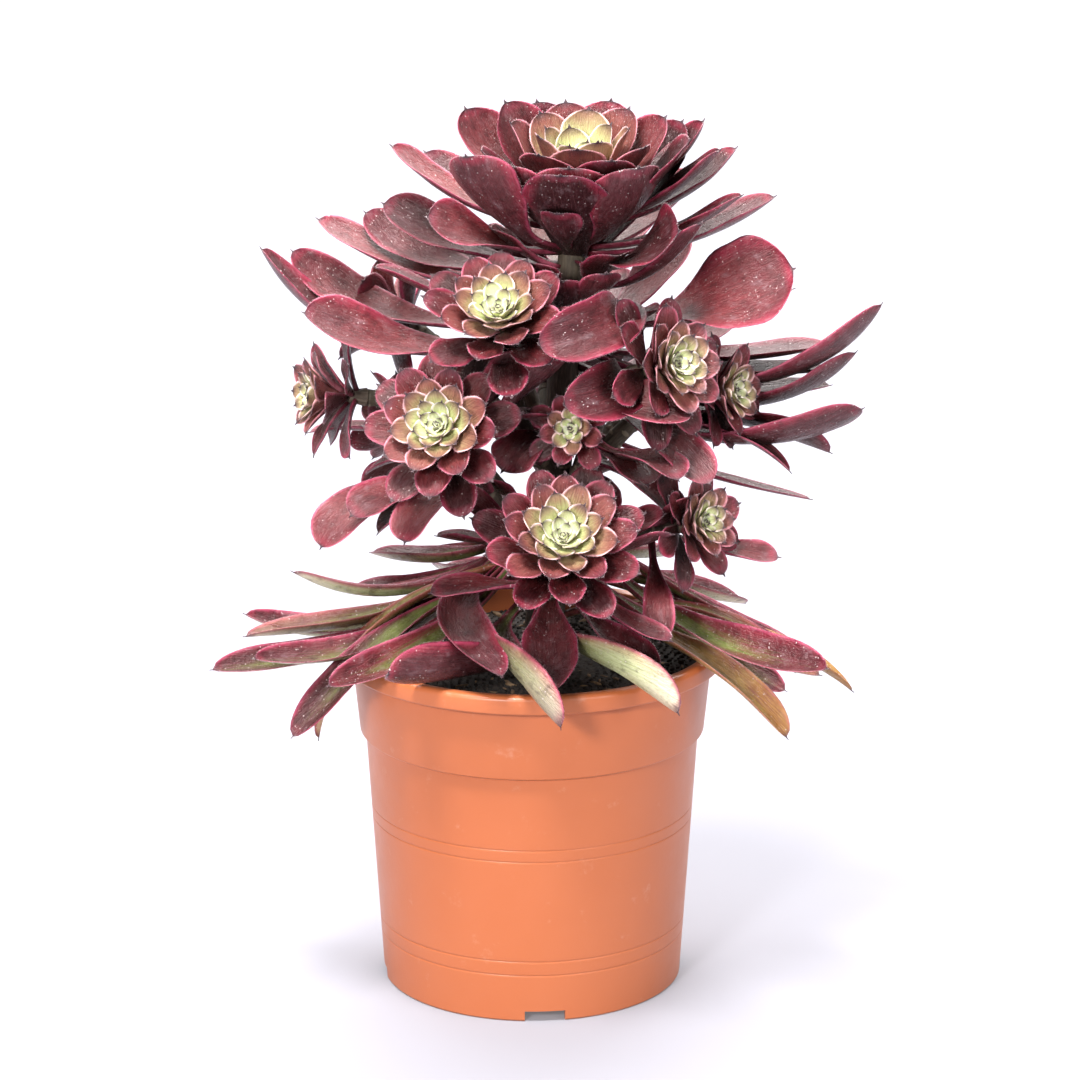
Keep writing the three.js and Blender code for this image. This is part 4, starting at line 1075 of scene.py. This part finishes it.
def make_soil(material):
    growth = Growth()
    trunk = trunk_at(SOIL_TOP)[:2]
    share, under = SOIL_UNDER
    points = [(x, y, under) for x, y in soil_ring(SOIL_RIM * share)]
    for r in range(SOIL_RINGS):
        for x, y in soil_ring(SOIL_RIM * (1 - r / (SOIL_RINGS - 0.5))):
            rise = MOUND * math.exp(-(((x - trunk[0]) ** 2 + (y - trunk[1]) ** 2) / MOUND_SPREAD))
            points.append((x, y, soil_height(x, y) + rise - (RIM_SINK if r == 0 else 0)))
    growth.add(np.array(points, float), loft_faces(SOIL_RINGS + 1, SOIL_SECTORS))
    for n in range(CRUMBS):
        radius = (SOIL_RIM - CRUMB_INSET) * math.sqrt((n + 0.5) / CRUMBS)
        a = math.radians(n * GOLDEN_ANGLE)
        x, y = radius * math.cos(a), radius * math.sin(a)
        place = np.array([x, y, soil_height(x, y) + CRUMB_LIFT])
        size = CRUMB_SIZES[0] + CRUMB_SIZES[1] * abs(noise(n, 30)) ** 2
        chip = noise(n, 31) > CHIP_LIMIT
        shape = CHIP_SHAPE if chip else CRUMB_SHAPE
        add_crumb(growth, place, size * shape, math.pi * noise(n, 32), n, 1.0 if chip else 0.0)
    growth.piece("soil_surface", (material,), "soil", "soil")


def add_crumb(growth, place, sizes, turn, seed, chip):
    """One crumb of soil or chip of bark: a small uneven pebble."""
    rows = []
    for r in range(CRUMB_RINGS):
        lat = math.pi * ((r + 0.5) / CRUMB_RINGS - 0.5)
        for k in range(CRUMB_SIDES):
            lon = -2 * math.pi * k / CRUMB_SIDES
            uneven = 1 + 0.28 * noise(seed * 31 + r * 7 + k, 33)
            across = uneven * math.cos(lat)
            rows.append((
                across * math.cos(lon) * sizes[0],
                across * math.sin(lon) * sizes[1],
                uneven * math.sin(lat) * sizes[2],
            ))
    c, s = math.cos(turn), math.sin(turn)
    points = np.array(rows) @ np.array([[c, s, 0], [-s, c, 0], [0, 0, 1]])
    growth.add(points + place, loft_faces(CRUMB_RINGS, CRUMB_SIDES), leaf_kind=(chip, 0.0, 0.0))


# ---- floor and light ----


FLOOR_HALF = 6000
FLOOR_GLOW, FLOOR_GLOW_STRENGTH = (0.97, 0.96, 1.0, 1), 0.15
WORLD_COLOUR, WORLD_STRENGTH = (1.0, 0.98, 0.97, 1), 0.32
# Area lights: name, place, target, size, all in metres, and watts.
LIGHTS = (
    ("key", (-0.35, -0.75, 2.3), (0, 0, 0.3), (0.6, 0.6), 96),
    ("front", (-1.0, -2.5, 1.35), (0, 0, 0.3), (0.4, 0.4), 72),
    ("fill", (1.7, -1.9, 1.2), (0, 0, 0.25), (0.9, 0.9), 26),
    ("rim", (0.5, 1.8, 1.25), (0, 0, 0.35), (1.6, 0.7), 12),
    ("top", (0.05, 0.2, 2.0), (0, 0, 0.3), (0.9, 0.9), 22),
    ("back", (0, 2.8, 3.0), (0, 2.8, 0), (5, 3.6), 470),
)


def make_stage():
    h = FLOOR_HALF
    floor = raw_object("floor", [(-h, -h, 0), (h, -h, 0), (h, h, 0), (-h, h, 0)], [(0, 1, 2, 3)])
    s = Shader("pale_floor")
    s.set(Base_Color=s.ramp(s.noise(s.place(), 0.8, 1.0), FLOOR_COLOURS), Roughness=0.9)
    s.set(Emission_Color=FLOOR_GLOW, Emission_Strength=FLOOR_GLOW_STRENGTH)
    floor.data.materials.append(s.material)


def make_lights():
    world = bpy.data.worlds.new("studio")
    bpy.context.scene.world = world
    world.use_nodes = True
    background = world.node_tree.nodes["Background"]
    background.inputs["Color"].default_value = WORLD_COLOUR
    background.inputs["Strength"].default_value = WORLD_STRENGTH
    for name, place, target, size, power in LIGHTS:
        data = bpy.data.lights.new(name, "AREA")
        data.shape = "RECTANGLE"
        data.size, data.size_y = size
        data.energy = power
        light = new_object(name, data)
        light.location = place
        light.rotation_euler = (Vector(place) - Vector(target)).to_track_quat("Z", "Y").to_euler()
    bpy.context.scene.view_settings.view_transform = "Standard"


make_camera()
make_stage()
make_lights()
make_pot(pot_material())
make_soil(soil_material())
make_plant(leaf_material(), hair_material(), stem_material())
